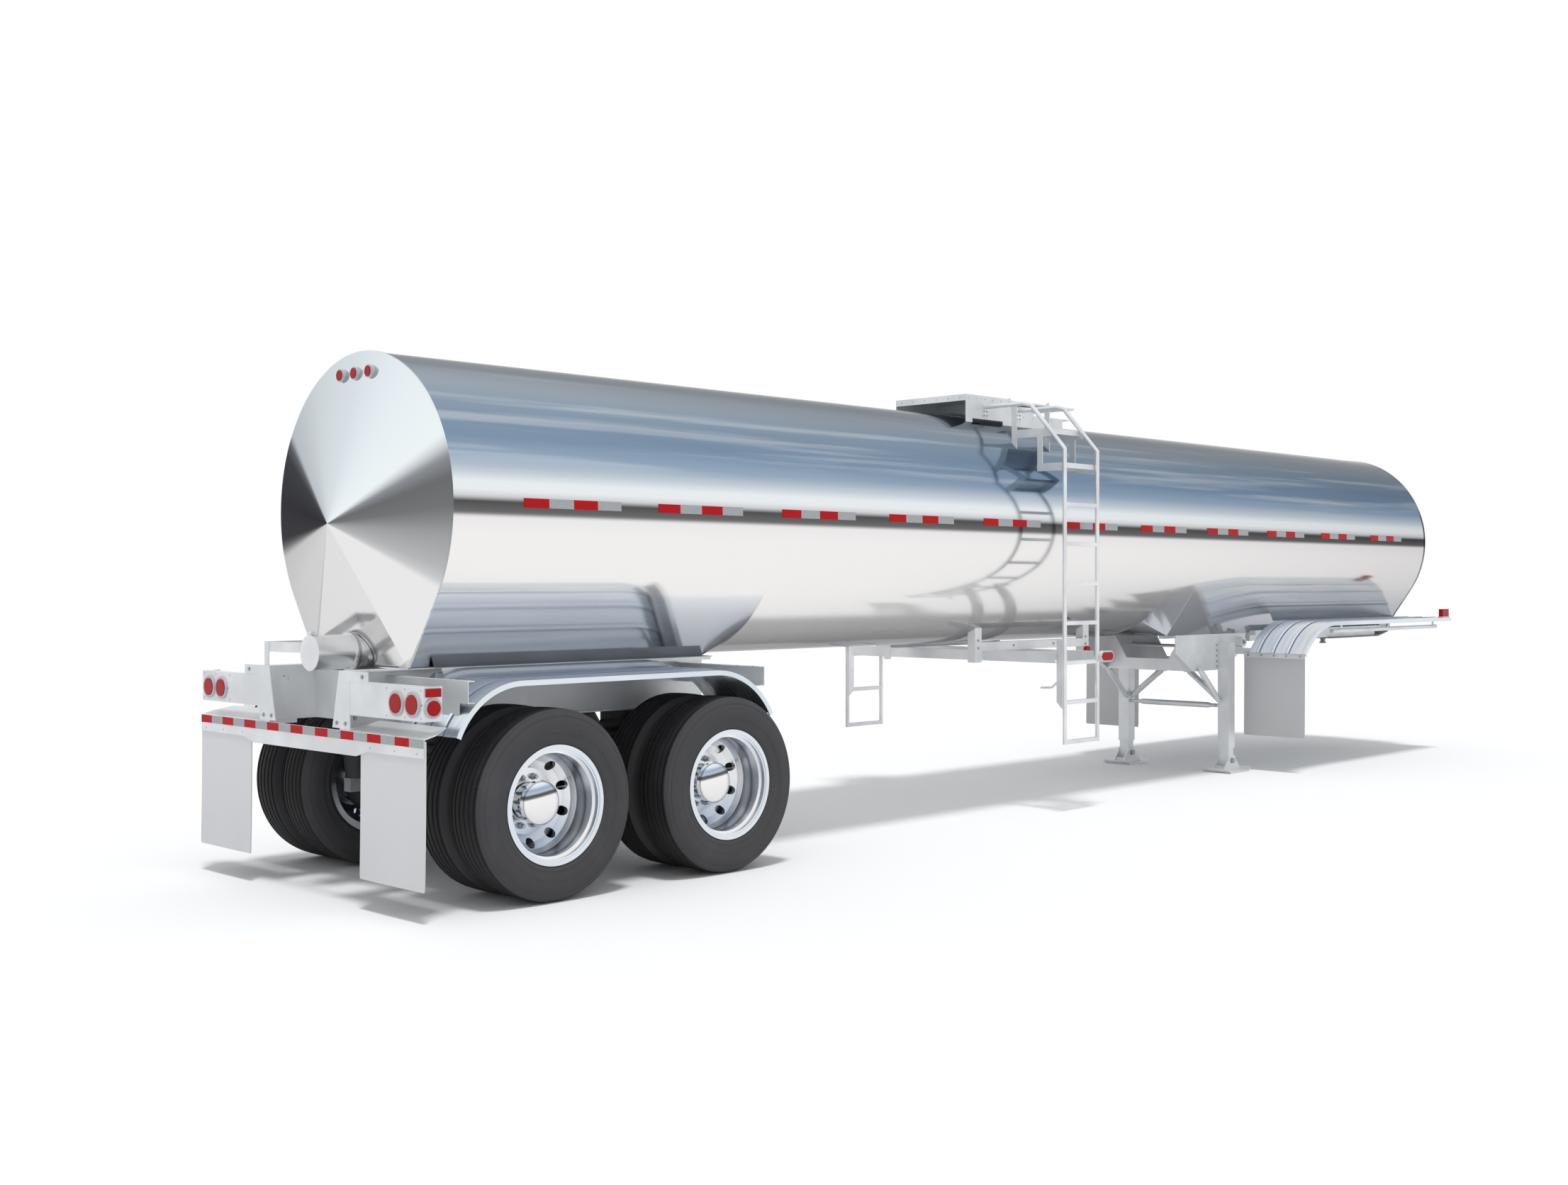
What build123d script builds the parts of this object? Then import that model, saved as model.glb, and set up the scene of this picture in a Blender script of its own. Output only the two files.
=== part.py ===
from build123d import *
import os
from math import asin, atan2, cos, degrees, pi, radians, sin, sqrt, tan

os.makedirs("parts", exist_ok=True)

# Tank semi-trailer in millimetres. X runs forward from the rear axle, Y to the left, Z up from the floor.

# Tank jacket and heads
TANK_RADIUS = 916
BELLY_Z = 1290
ROUND_BELLY_DROP = 5
TANK_CENTRE_Z = BELLY_Z - ROUND_BELLY_DROP + TANK_RADIUS
TANK_TOP_Z = TANK_CENTRE_Z + TANK_RADIUS
TANK_REAR_X = -497
TANK_FRONT_X = 11937
REAR_DEEP_END_X = 1740
REAR_ROUND_X = 2060
FRONT_ROUND_X = 7060
FRONT_DEEP_X = 7470
FLANK_ANGLE = 34
HEAD_RIM = 10
HEAD_RIM_RISE = 6
HEAD_DEPTH = 221
HEAD_APEX_Z = TANK_CENTRE_Z - 89

# Lamps
LAMP_LENS_RADIUS = 52
LAMP_BEZEL_RADIUS = 69
LAMP_BEZEL_DEPTH = 9
LAMP_LENS_DEPTH = 14
HEAD_LAMP_Z = TANK_TOP_Z - 128
HEAD_LAMP_SPACING = 153
HEAD_LAMP_FACE_X = -560
HEAD_BEZEL_RADIUS = 38
HEAD_BEZEL_STEP = 5
HEAD_LENS_RADIUS = 30

# Rear frame
RAIL_INNER_Y = 385
RAIL_OUTER_Y = 495
RAIL_BOTTOM_Z = 972
RAIL_REAR_X = -875
RAIL_FRONT_X = 1840
RAIL_PLATE = 8
END_PLATE = 6
END_PLATE_FOOT_Y = 315
TAB_Y = 675
TAB_Z = 1233
RAIL_HOLE_RADIUS = 25
RAIL_HOLE_X = -775
RAIL_HOLE_Z = 1206
CROSS_PLATE_XS = (-570, 640, 1790)
CROSS_PLATE_TOP_Z = 1260
BUMPER_REAR_X = -883
BUMPER_HALF_WIDTH = 1213
BUMPER_TOP_Z = 962
BUMPER_END_BOTTOM_Z = 862
BUMPER_MID_BOTTOM_Z = 830
BUMPER_TAPER_INNER_Y = 560
BUMPER_TAPER_OUTER_Y = 680
BUMPER_PLATE = 6
BUMPER_FLANGE_X = -700
BUMPER_FLANGE_RISE = 48
BUMPER_CORNER_CUT = 63
BUMPER_CORNER_X = -810
BUMPER_SEAT_DEPTH = 14
PANEL_REAR_X = -880
PANEL_OUTER_Y = 1205
PANEL_BOTTOM_Z = 1050
PANEL_PLATE = 4
PANEL_RETURN = 115
PANEL_FLANGE = 60
PANEL_LAMP_YS = (958, 1110)
PANEL_LAMP_Z = 1137
SIDE_LAMP_RADIUS = 40
SIDE_BEZEL_RADIUS = 54
SIDE_LAMP_Z = 1120
BLOCK_LAMP_Z = 1201
BLOCK_LAMP_LENGTH = 90
BLOCK_LAMP_HEIGHT = 44
BLOCK_LAMP_DEPTH = 12

# Flaps
FLAP_THICKNESS = 6
REAR_FLAP_INNER_Y = 600
REAR_FLAP_OVERHANG = 6
REAR_FLAP_BOTTOM_Z = 170
REAR_FLAP_TOP_Z = 950

# Outlet can, its cap and the cap hoop
CAN_Z = 1373
CAN_OUTER_RADIUS = 100
CAN_WALL = 4
CAN_REAR_X = -832
CAN_BEAD_X = -560
CAN_BEAD_SPACING = 26
CAN_BEAD_RISE = 12
CAN_BEAD_WIDTH = 9
CAP_THICKNESS = 8
CAP_GAP = 0.3
CAP_LIP = 3
CAP_PIN_RADIUS = 5
CAP_PIN_CLEARANCE = 0.1
CAP_PIN_RISE = 14
CAP_KNUCKLE_HALF = 12
CAP_KNUCKLE_RADIUS = 9
CAP_LUG_WIDTH = 12
CAP_LUG_SETBACK = 3
CAP_LUG_NOSE = 3
CAP_LUG_FOOT = 30
HOOP_Z = 1370
HOOP_HEIGHT = 60
HOOP_STRIP = 5
HOOP_REAR_X = -862
HOOP_LENGTH_Y = 320
HOOP_RADIUS = 125
HOOP_POST_Y = 440
HOOP_POST_WIDTH = 48

# Fenders. Each follows a line given by columns: rear tip X, rear bend X, front bend X, front tip X,
# line Z between the bends, tip Z. The sheet lies above the line and falls along an arc outside a bend.
REAR_FENDER_LINE = (-637, -216, 1247, 1718, 1224, 947)
NOSE_FENDER_LINE = (8703, 9287, 11930, 11930, 1371, 1091)
FENDER_OUTER_Y = 1170
FENDER_INNER_Y = 600
FENDER_SHEET = 3
FENDER_SHEET_RISE = 14
FENDER_EDGE_DROP = 16
FENDER_EDGE_WIDTH = 10
FENDER_RIB_YS = (730, 880, 1030)
FENDER_RIB_WIDTH = 30
FENDER_RIB_RISE = 7
LEDGE_Z = 1270
LEDGE_OUTER_Y = 564
LEDGE_REAR_X = -330
LEDGE_FRONT_X = 1760
LEDGE_PLATE = 6

# Fender brackets, columns: face X, way the flanges point
BRACKET_ROWS = ((-584, 1), (1645, -1))
BRACKET_OUTER_Y = 1178
BRACKET_TOP_Z = 1250
BRACKET_BOTTOM_Z = 1129
BRACKET_FOOT_INNER_Y = 620
BRACKET_FOOT_OUTER_Y = 1096
BRACKET_FOOT_Z = 1040
BRACKET_PLATE = 5
BRACKET_FLANGE = 45

# Running gear
AXLE_SPACING = 1339
TYRE_RADIUS = 538
# Tyre half outline from the bore to the tread, columns: distance from its middle, radius
TYRE_ROWS = ((124, 346), (142, 448), (134, 500), (113, 526), (96, TYRE_RADIUS))
TYRE_BORE_RADIUS = 318
TYRE_HEEL_RADIUS = 338
DUAL_SPACING = 340
OUTER_RIM_Y = 1190
RIM_RADIUS = 336
RIM_WIDTH = 236
RIM_WALL = 6
WELL_RADIUS = 288
DISC_THICKNESS = 14
DISC_FLAT_RADIUS = 188
DISC_CONE_ROWS = ((40, 232), (72, 268), (104, WELL_RADIUS))
RIM_LEDGE_RADIUS = 300
RIM_LEDGE_DEPTH = 45
RIM_LIP_RADIUS = 313
HAND_HOLE_COUNT = 10
HAND_HOLE_RADIUS = 28
HAND_HOLE_CIRCLE = 236
HAND_HOLE_START = 18
HUB_BORE_RADIUS = 110
HUB_CAP_RADIUS = 113
HUB_BARREL_RADIUS = 104
HUB_CAP_FACE = 158
HUB_CAP_DEPTH = 38
HUB_CAP_CHAMFER = 10
HUB_CAP_WALL = 26
HUB_FLANGE_RADIUS = 167
HUB_FLANGE = 13
HUB_NECK_RADIUS = 80
AXLE_RADIUS = 64
AXLE_STUB_RADIUS = 42
AXLE_CLEARANCE = 0.08
DRUM_RADIUS = 208
DRUM_WALL = 12
DRUM_FACE = -226
DRUM_WEB = 14
DRUM_BACK = -412
AXLE_SHOULDER = -250
STUB_END_GAP = 5

# Suspension hidden between the rails, taken as trailing arm with air springs
SUSPENSION_Y = 440
ARM_WIDTH = 76
HANGER_WIDTH = 90
HANGER_XS = (355, 485)
HANGER_BOTTOM_RISE = 184
# Arm outline, columns: X and height, both from the axle
ARM_TAIL_RISE = 45
ARM_ROWS = (
    (-330, -38),
    (-330, ARM_TAIL_RISE),
    (-90, ARM_TAIL_RISE),
    (-80, 87),
    (80, 87),
    (355, HANGER_BOTTOM_RISE),
    (485, HANGER_BOTTOM_RISE),
    (485, 102),
    (370, 72),
    (90, -88),
    (-90, -88),
    (-110, -38),
)
AIR_SPRING_X = -260
# Air spring outline, columns: radius, share of its height
AIR_SPRING_ROWS = ((70, 0.0), (85, 0.3), (85, 0.4), (125, 0.46), (125, 0.92), (100, 1.0))

# Top box, its heights counted from the top of the tank
BOX_REAR_X = 4722
BOX_JOIN_X = 5315
BOX_FRONT_X = 6038
BOX_HALF_WIDTH = 361
BOX_RISE = 145
BOX_SINK = 167
BOX_TOP_Z = TANK_TOP_Z + BOX_RISE
BOX_BASE_Z = TANK_TOP_Z - BOX_SINK
BOX_SHEET = 5
BOX_HEADER = 50
BOX_SLOT_REAR_X = 4805
BOX_SLOT_FRONT_X = 5205
BOX_SLOT_TOP_Z = TANK_TOP_Z - 42
BOX_BODY_TOP_Z = TANK_TOP_Z + 33
BOX_LIP = 100
BOX_LIP_SHEET = 8

# Ladders
LADDER_XS = (4969, 5410)
LADDER_Y = 1123
LADDER_TUBE_RADIUS = 17
LADDER_BOTTOM_Z = 527
LADDER_KNEE_Z = TANK_TOP_Z - 317
HANDRAIL_TOP_Y = 739
HANDRAIL_TOP_Z = BOX_TOP_Z - 88
HANDRAIL_BEND = (813, HANDRAIL_TOP_Z - 19)
HANDRAIL_PLATE_HALF = 30
HANDRAIL_PLATE = 6
HANDRAIL_PLATE_BOTTOM_Z = HANDRAIL_TOP_Z - 84
FIRST_RUNG_Z = 544
RUNG_PITCH = 304.8
RUNG_COUNT = 7
RUNG_SIZE = 30
HANGING_PLATE_TOP_Z = 1330
HANGING_PLATE_BOTTOM_Z = 800
HANGING_PLATE_INNER_Y = 1050
HANGING_PLATE = 8
HANGING_PLATE_CUT = 50
HOOK_ROD_RADIUS = 9
# Hose hook, columns: |Y|, Z
HOOK_ROWS = ((1060, 1005), (1004, 961), (902, 956))

# Steps above the ladders, |Y| and Z of the stringer outline
STEP_TREAD_TOP_Z = TANK_TOP_Z - 147
STEP_PLATE = 8
STEP_BAR_INNER_Y = 625
STEP_BAR_OUTER_Y = 672
STEP_BAR_TOP_Z = TANK_TOP_Z + 40
STEP_TREAD_BOTTOM_Z = STEP_TREAD_TOP_Z - 65
STEP_POST_INNER_Y = 870
STEP_POST_OUTER_Y = 918
STEP_TREAD_OUTER_Y = 959
STEP_GUSSET = (993, STEP_TREAD_TOP_Z - 20)
STEP_FOOT_Z = STEP_TREAD_TOP_Z - 155
LOWER_TREAD_TOP_Z = STEP_TREAD_TOP_Z - 274
LOWER_TREAD_BOTTOM_Z = LOWER_TREAD_TOP_Z - 60
TREAD_SHEET = 4
TREAD_RIM = 40

# Belly beams and hangers between the ladders
BELLY_HANGER_INNER_Y = 400
BELLY_HANGER_OUTER_Y = 472
BELLY_HANGER_REAR_X = 4694
BELLY_HANGER_FRONT_X = 6260
BELLY_HANGER_LENGTH = 84
BELLY_HANGER_BOTTOM_Z = 1143
BELLY_HANGER_TOP_Z = 1420
BELLY_BEAM_BOTTOM_Z = 1233
BELLY_BEAM_TOP_Z = 1300
BELLY_BEAM_PLATE = 6
LATERAL_BOTTOM_Z = 1150
LATERAL_DEPTH_X = 50
LATERAL_PLATE = 6
MARKER_LENGTH = 175
MARKER_HEIGHT = 88
MARKER_DEPTH = 30
MARKER_X = 5484
MARKER_Z = 1191
MARKER_LENS_MARGIN = 12
MARKER_LENS_DEPTH = 5
MID_LAMP_X = 6218
MID_LAMP_Z = 1204
MID_LAMP_DEPTH = 26
MID_HANGER_BOTTOM_Z = 1172
MID_LAMP_RADIUS = 30

# Manhole, its cover and the vent dome
MANHOLE_X = 5680
MANHOLE_RADIUS = 265
MANHOLE_WALL = 6
COVER_REAR_X = 5318
COVER_FRONT_X = 6212
COVER_BOTTOM_Z = BOX_TOP_Z - 24
COVER_SHEET = 14
COVER_HINGE_XS = (5480, 5880)
COVER_HINGE_RADIUS = 9
COVER_PIN_RADIUS = 5
COVER_HINGE_SETBACK = 14
COVER_KNUCKLE_HALF = 15
COVER_LUG_WIDTH = 14
COVER_LUG_FOOT_Z = BOX_BODY_TOP_Z - 60
COVER_PIN_CLEARANCE = 0.1
KNOB_XS = (5349, 5884)
KNOB_RADIUS = 12
KNOB_Y = 320
KNOB_HEIGHT = 24
DOME_X = 4990
DOME_RADIUS = 180
DOME_TOP_Z = BOX_TOP_Z - 110
DOME_WALL_TOP_Z = DOME_TOP_Z - 44

# Landing gear
LEG_REAR_X = 8374
LEG_LENGTH_X = 109
LEG_INNER_Y = 486
LEG_WIDTH_Y = 114
LEG_TOP_Z = 1212
LEG_COLLAR_Z = 222
LEG_INNER_MARGIN = 9
LEG_INNER_BOTTOM_Z = 50
GEAR_PLATE = 8
GEAR_EDGE_WIDTH = 40
GEAR_PLATE_REAR_X = 7631
GEAR_PLATE_LOW_X = 7934
GEAR_PLATE_FRONT_LOW_X = 8842
GEAR_PLATE_FRONT_TOP_X = 8899
GEAR_PLATE_REAR_Z = 1126
GEAR_PLATE_FRONT_Z = 1134
GEAR_PLATE_BOTTOM_Z = 952
# Bulkheads, columns: face X, way of the sill flange, opening half width at the top and at the sill
BULKHEAD_ROWS = ((7934, 1, 365, 225), (8450, -1, 235, 105))
BULKHEAD_PLATE = 6
BULKHEAD_FLANGE = 60
BULKHEAD_SILL_TOP_Z = 1060
CRANK_X = 8753
CRANK_Z = 1205
CRANK_BOSS_RADIUS = 50
CRANK_BOSS_DEPTH = 60
CROSS_SHAFT_RADIUS = 15
CROSS_SHAFT_Z = 1164
CROSS_TUBE_Z = 613
CROSS_TUBE_RADIUS = 17
BRACE_RADIUS = 16
BRACE_TOP = (140, 936)
BRACE_LOW = (500, 645)
BRACE_GUSSET = 8
BRACE_GUSSET_YS = (95, 185)
BRACE_GUSSET_BOTTOM_Z = 915
FORE_BRACE_TOP = (8000, 985)
FORE_BRACE_LOW = (8390, 640)
FOOT_LENGTH_X = 390
FOOT_WIDTH_Y = 285
FOOT_SHEET = 12
FOOT_TOE_RUN = 30
FOOT_LUG_HALF_X = 55
FOOT_LUG_TOP_Z = 150
FOOT_LUG = 12
FOOT_PIVOT_Z = 105
FOOT_PIVOT_RADIUS = 20

# Front fenders and flaps
NOSE_FENDER_INNER_Y = 640
NOSE_FENDER_OUTER_Y = 1206
NOSE_SHEET_RISE = 29
NOSE_EDGE_DROP = 8
NOSE_LEDGE_INNER_Y = 520
NOSE_LAMP_XS = (11735, 11885)
NOSE_LAMP_YS = (1156, 1200)
NOSE_LAMP_TOP_Z = 1490
NOSE_LAMP_BASE = 12
NOSE_LAMP_MARGIN = 8
HANGER_BAR_X = 8707
HANGER_BAR_DEPTH = 34
HANGER_BAR_BOTTOM_Z = 1091
HANGER_BAR_TOP_Z = 1150
FRONT_FLAP_INNER_Y = 579
FRONT_FLAP_OUTER_Y = 1193
FRONT_FLAP_BOTTOM_Z = 331
FRONT_FLAP_TOP_Z = 1115
FLAP_STRIP = 6
FLAP_STRIP_BOTTOM_Z = 1063
FLAP_STRIP_TOP_Z = 1108
NOSE_TUBE_RADIUS = 20
NOSE_TUBE_Z = 1310
NOSE_TUBE_FRONT_X = 11670
NOSE_TUBE_REAR_X = 9320
NOSE_TUBE_Y = 1150
NOSE_STRAP_XS = (9500, 10540, 11580)
NOSE_STRAP = 6
NOSE_STRAP_LENGTH = 40

# Coupler
COUPLER_REAR_X = 10560
COUPLER_FRONT_X = 11880
COUPLER_HALF_WIDTH = 540
COUPLER_BOTTOM_Z = 1195
COUPLER_PLATE = 12
COUPLER_NOSE_RISE = 45
COUPLER_NOSE_X = 11640
NOSE_RAIL_REAR_X = 8950
NOSE_RAIL_INNER_Y = 440
NOSE_RAIL_WEB_Y = 500
NOSE_RAIL_OUTER_Y = 560
NOSE_RAIL_LEDGE_Z = 1265
NOSE_RAIL_TOP_Z = 1310
NOSE_MEMBER_XS = (9600, 10560, 11380)
NOSE_MEMBER = 150
KINGPIN_X = 11455
KINGPIN_LENGTH = 84
KINGPIN_HEAD_RADIUS = 35.7
KINGPIN_NECK_RADIUS = 25.4
KINGPIN_NECK_TOP = 48
KINGPIN_NECK_BOTTOM = 16

# Shared
SEAT_GAP = 0.3
RAIL_TOP_Z = BELLY_Z - SEAT_GAP
PANEL_TOP_Z = TAB_Z - SEAT_GAP
FRONT_END_X = TANK_FRONT_X + HEAD_RIM + HEAD_DEPTH
REAR_END_X = PANEL_REAR_X - SEAT_GAP - LAMP_LENS_DEPTH
MID_X = (FRONT_END_X + REAR_END_X) / 2


def prism(points, direction):
    face = Face(Wire.make_polygon([Vector(*p) for p in points]))
    return Solid.extrude(face, Vector(*direction))


def block(xs, ys, zs):
    size = [abs(pair[1] - pair[0]) for pair in (xs, ys, zs)]
    return Solid.make_box(*size, Plane((min(xs), min(ys), min(zs))))


def side_plate(outline_xz, y0, y1):
    return prism([(x, y0, z) for x, z in outline_xz], (0, y1 - y0, 0))


def cross_plate(outline_yz, x0, x1):
    return prism([(x0, y, z) for y, z in outline_yz], (x1 - x0, 0, 0))


def flat_plate(outline_xy, z0, z1):
    return prism([(x, y, z0) for x, y in outline_xy], (0, 0, z1 - z0))


def rod(start, end, radius):
    run = Vector(*end) - Vector(*start)
    return Solid.make_cylinder(radius, run.length, Plane(origin=Vector(*start), z_dir=run))


def pipe(points, radius):
    runs = [rod(a, b, radius) for a, b in zip(points, points[1:])]
    balls = [Pos(*p) * Solid.make_sphere(radius, angle1=-90, angle2=90, angle3=360) for p in points[1:-1]]
    return fuse(*runs, *balls)


def fuse(*shapes):
    first, rest = shapes[0], shapes[1:]
    return Compound(first.solids()).fuse(*rest)


def cut(shape, *tools):
    return Compound(shape.solids()).cut(*tools)


def other_side(shape):
    return Compound([solid.mirror(Plane.XZ) for solid in shape.solids()])


def both_sides(shape):
    return [shape, other_side(shape)]


def both_ways(values):
    return [-value for value in values] + list(values)


def solids_of(shapes):
    found = []
    for shape in shapes:
        if isinstance(shape, (list, tuple)):
            found.extend(solids_of(shape))
        else:
            found.extend(shape.solids())
    return found


def save(name, *shapes):
    moved = [solid.moved(Location((-MID_X, 0, 0))) for solid in solids_of(shapes)]
    export_step(Compound(moved) if len(moved) > 1 else moved[0], f"parts/{name}.step")


def tank_section(x, deep, radius=TANK_RADIUS):
    """Outline of the jacket across X: a round top over straight flanks and a flat belly, or a full round."""
    grow = radius - TANK_RADIUS
    lean = radians(FLANK_ANGLE)
    shoulder_y = radius * cos(lean)
    shoulder_z = TANK_CENTRE_Z - radius * sin(lean)
    if deep:
        belly_z = BELLY_Z - grow
        foot_y = shoulder_y - (shoulder_z - belly_z) * tan(lean)
        flanks = [
            Edge.make_line((x, -shoulder_y, shoulder_z), (x, -foot_y, belly_z)),
            Edge.make_line((x, -foot_y, belly_z), (x, foot_y, belly_z)),
            Edge.make_line((x, foot_y, belly_z), (x, shoulder_y, shoulder_z)),
        ]
    else:
        steep = radians(58)
        low_y = radius * cos(steep)
        low_z = TANK_CENTRE_Z - radius * sin(steep)
        half = (lean + steep) / 2
        flanks = [
            Edge.make_three_point_arc(
                (x, -shoulder_y, shoulder_z),
                (x, -radius * cos(half), TANK_CENTRE_Z - radius * sin(half)),
                (x, -low_y, low_z),
            ),
            Edge.make_three_point_arc((x, -low_y, low_z), (x, 0, TANK_CENTRE_Z - radius), (x, low_y, low_z)),
            Edge.make_three_point_arc(
                (x, low_y, low_z),
                (x, radius * cos(half), TANK_CENTRE_Z - radius * sin(half)),
                (x, shoulder_y, shoulder_z),
            ),
        ]
    top = Edge.make_three_point_arc(
        (x, shoulder_y, shoulder_z), (x, 0, TANK_CENTRE_Z + radius), (x, -shoulder_y, shoulder_z)
    )
    return Wire([top] + flanks)


def deep_jacket(x0, x1, radius=TANK_RADIUS):
    return Solid.extrude(Face(tank_section(x0, True, radius)), Vector(x1 - x0, 0, 0))


def round_jacket(x0, x1, radius=TANK_RADIUS):
    return Solid.make_cylinder(radius, x1 - x0, Plane(origin=(x0, 0, TANK_CENTRE_Z), z_dir=(1, 0, 0)))


def disc(x0, x1, y, z, radius):
    return Solid.make_cylinder(radius, abs(x1 - x0), Plane(origin=(min(x0, x1), y, z), z_dir=(1, 0, 0)))


def side_disc(x, y0, y1, z, radius):
    return Solid.make_cylinder(radius, abs(y1 - y0), Plane(origin=(x, min(y0, y1), z), z_dir=(0, 1, 0)))


def upright(x, y, z0, z1, radius):
    return Solid.make_cylinder(radius, z1 - z0, Plane(origin=(x, y, z0)))


# Jacket
rear_jacket = fuse(
    deep_jacket(TANK_REAR_X, REAR_DEEP_END_X),
    Solid.make_loft([tank_section(REAR_DEEP_END_X, True), tank_section(REAR_ROUND_X, False)], True),
)
front_jacket = fuse(
    Solid.make_loft([tank_section(FRONT_ROUND_X, False), tank_section(FRONT_DEEP_X, True)], True),
    deep_jacket(FRONT_DEEP_X, TANK_FRONT_X),
)
save("jacket_rear", rear_jacket)
save("jacket_middle", round_jacket(REAR_ROUND_X, FRONT_ROUND_X))
save("jacket_front", front_jacket)


def head(rim_x, way):
    rim_xs = sorted((rim_x, rim_x + way * HEAD_RIM))
    rim = deep_jacket(*rim_xs, TANK_RADIUS + HEAD_RIM_RISE)
    base = tank_section(rim_x + way * HEAD_RIM, True)
    apex = Vertex(rim_x + way * (HEAD_RIM + HEAD_DEPTH), 0, HEAD_APEX_Z)
    return fuse(rim, Solid.make_loft([base, apex], True))


rear_head = head(TANK_REAR_X, -1)
save("rear_head", rear_head)
save("front_head", head(TANK_FRONT_X, 1))

# Tank surfaces grown by the seat gap, for trimming what stands on them
rear_skin = rear_head.moved(Location((-SEAT_GAP, 0, 0)))
round_skin = round_jacket(REAR_ROUND_X, FRONT_ROUND_X, TANK_RADIUS + SEAT_GAP)
front_skin = deep_jacket(FRONT_DEEP_X, TANK_FRONT_X, TANK_RADIUS + SEAT_GAP)
head_base_x = TANK_REAR_X - HEAD_RIM
rim_skin = deep_jacket(head_base_x - SEAT_GAP, TANK_REAR_X, TANK_RADIUS + HEAD_RIM_RISE + SEAT_GAP)

lenses = []
bezels = []
for y in (-HEAD_LAMP_SPACING, 0, HEAD_LAMP_SPACING):
    core = disc(HEAD_LAMP_FACE_X, head_base_x, y, HEAD_LAMP_Z, HEAD_LENS_RADIUS)
    shell = disc(HEAD_LAMP_FACE_X + HEAD_BEZEL_STEP, head_base_x, y, HEAD_LAMP_Z, HEAD_BEZEL_RADIUS)
    socket = disc(HEAD_LAMP_FACE_X, head_base_x, y, HEAD_LAMP_Z, HEAD_LENS_RADIUS + SEAT_GAP)
    bezels.append(cut(shell, socket, rear_skin))
    lenses.append(cut(core, rear_skin))

panel_face_x = PANEL_REAR_X - SEAT_GAP
for y in both_ways(PANEL_LAMP_YS):
    lenses.append(disc(panel_face_x - LAMP_LENS_DEPTH, panel_face_x, y, PANEL_LAMP_Z, LAMP_LENS_RADIUS))
    ring = disc(panel_face_x - LAMP_BEZEL_DEPTH, panel_face_x, y, PANEL_LAMP_Z, LAMP_BEZEL_RADIUS)
    socket = disc(panel_face_x - LAMP_LENS_DEPTH, panel_face_x, y, PANEL_LAMP_Z, LAMP_LENS_RADIUS + SEAT_GAP)
    bezels.append(cut(ring, socket))

side_lamp_x = PANEL_REAR_X + PANEL_RETURN / 2
side_face_y = PANEL_OUTER_Y + SEAT_GAP
side_lens = side_disc(side_lamp_x, side_face_y, side_face_y + LAMP_LENS_DEPTH, SIDE_LAMP_Z, SIDE_LAMP_RADIUS)
side_ring_y = side_face_y + LAMP_BEZEL_DEPTH
side_ring = side_disc(side_lamp_x, side_face_y, side_ring_y, SIDE_LAMP_Z, SIDE_BEZEL_RADIUS)
side_socket = side_disc(
    side_lamp_x, side_face_y, side_face_y + LAMP_LENS_DEPTH, SIDE_LAMP_Z, SIDE_LAMP_RADIUS + SEAT_GAP
)
block_lamp = block(
    (side_lamp_x - BLOCK_LAMP_LENGTH / 2, side_lamp_x + BLOCK_LAMP_LENGTH / 2),
    (side_face_y, side_face_y + BLOCK_LAMP_DEPTH),
    (BLOCK_LAMP_Z - BLOCK_LAMP_HEIGHT / 2, BLOCK_LAMP_Z + BLOCK_LAMP_HEIGHT / 2),
)
mid_lamp = side_disc(
    MID_LAMP_X,
    BELLY_HANGER_OUTER_Y + SEAT_GAP,
    BELLY_HANGER_OUTER_Y + SEAT_GAP + MID_LAMP_DEPTH,
    MID_LAMP_Z,
    MID_LAMP_RADIUS,
)


def marker_shape(y0, y1, half_height):
    half_run = (MARKER_LENGTH - MARKER_HEIGHT) / 2
    return fuse(
        block(
            (MARKER_X - half_run, MARKER_X + half_run),
            (y0, y1),
            (MARKER_Z - half_height, MARKER_Z + half_height),
        ),
        side_disc(MARKER_X - half_run, y0, y1, MARKER_Z, half_height),
        side_disc(MARKER_X + half_run, y0, y1, MARKER_Z, half_height),
    )


marker_back_y = LADDER_Y + LADDER_TUBE_RADIUS + SEAT_GAP
marker_face_y = marker_back_y + MARKER_DEPTH
marker = marker_shape(marker_back_y, marker_face_y, MARKER_HEIGHT / 2)
marker_lens = marker_shape(
    marker_face_y + SEAT_GAP, marker_face_y + MARKER_LENS_DEPTH, MARKER_HEIGHT / 2 - MARKER_LENS_MARGIN
)
save("marker_housings", both_sides(marker))

nose_sheet_z = NOSE_FENDER_LINE[4] + NOSE_SHEET_RISE
lamp_base_top = nose_sheet_z + SEAT_GAP + NOSE_LAMP_BASE
nose_base = block(
    (NOSE_LAMP_XS[0] - NOSE_LAMP_MARGIN, NOSE_LAMP_XS[1] + NOSE_LAMP_MARGIN),
    (NOSE_LAMP_YS[0] - NOSE_LAMP_MARGIN, NOSE_LAMP_YS[1] + NOSE_LAMP_MARGIN / 2),
    (nose_sheet_z + SEAT_GAP, lamp_base_top),
)
nose_lens = block(NOSE_LAMP_XS, NOSE_LAMP_YS, (lamp_base_top + SEAT_GAP, NOSE_LAMP_TOP_Z))
for piece in (side_lens, block_lamp, mid_lamp, marker_lens, nose_lens):
    lenses.extend(both_sides(piece))
for piece in (cut(side_ring, side_socket), nose_base):
    bezels.extend(both_sides(piece))
save("lamp_lenses", lenses)
save("lamp_bezels", bezels)

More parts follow.
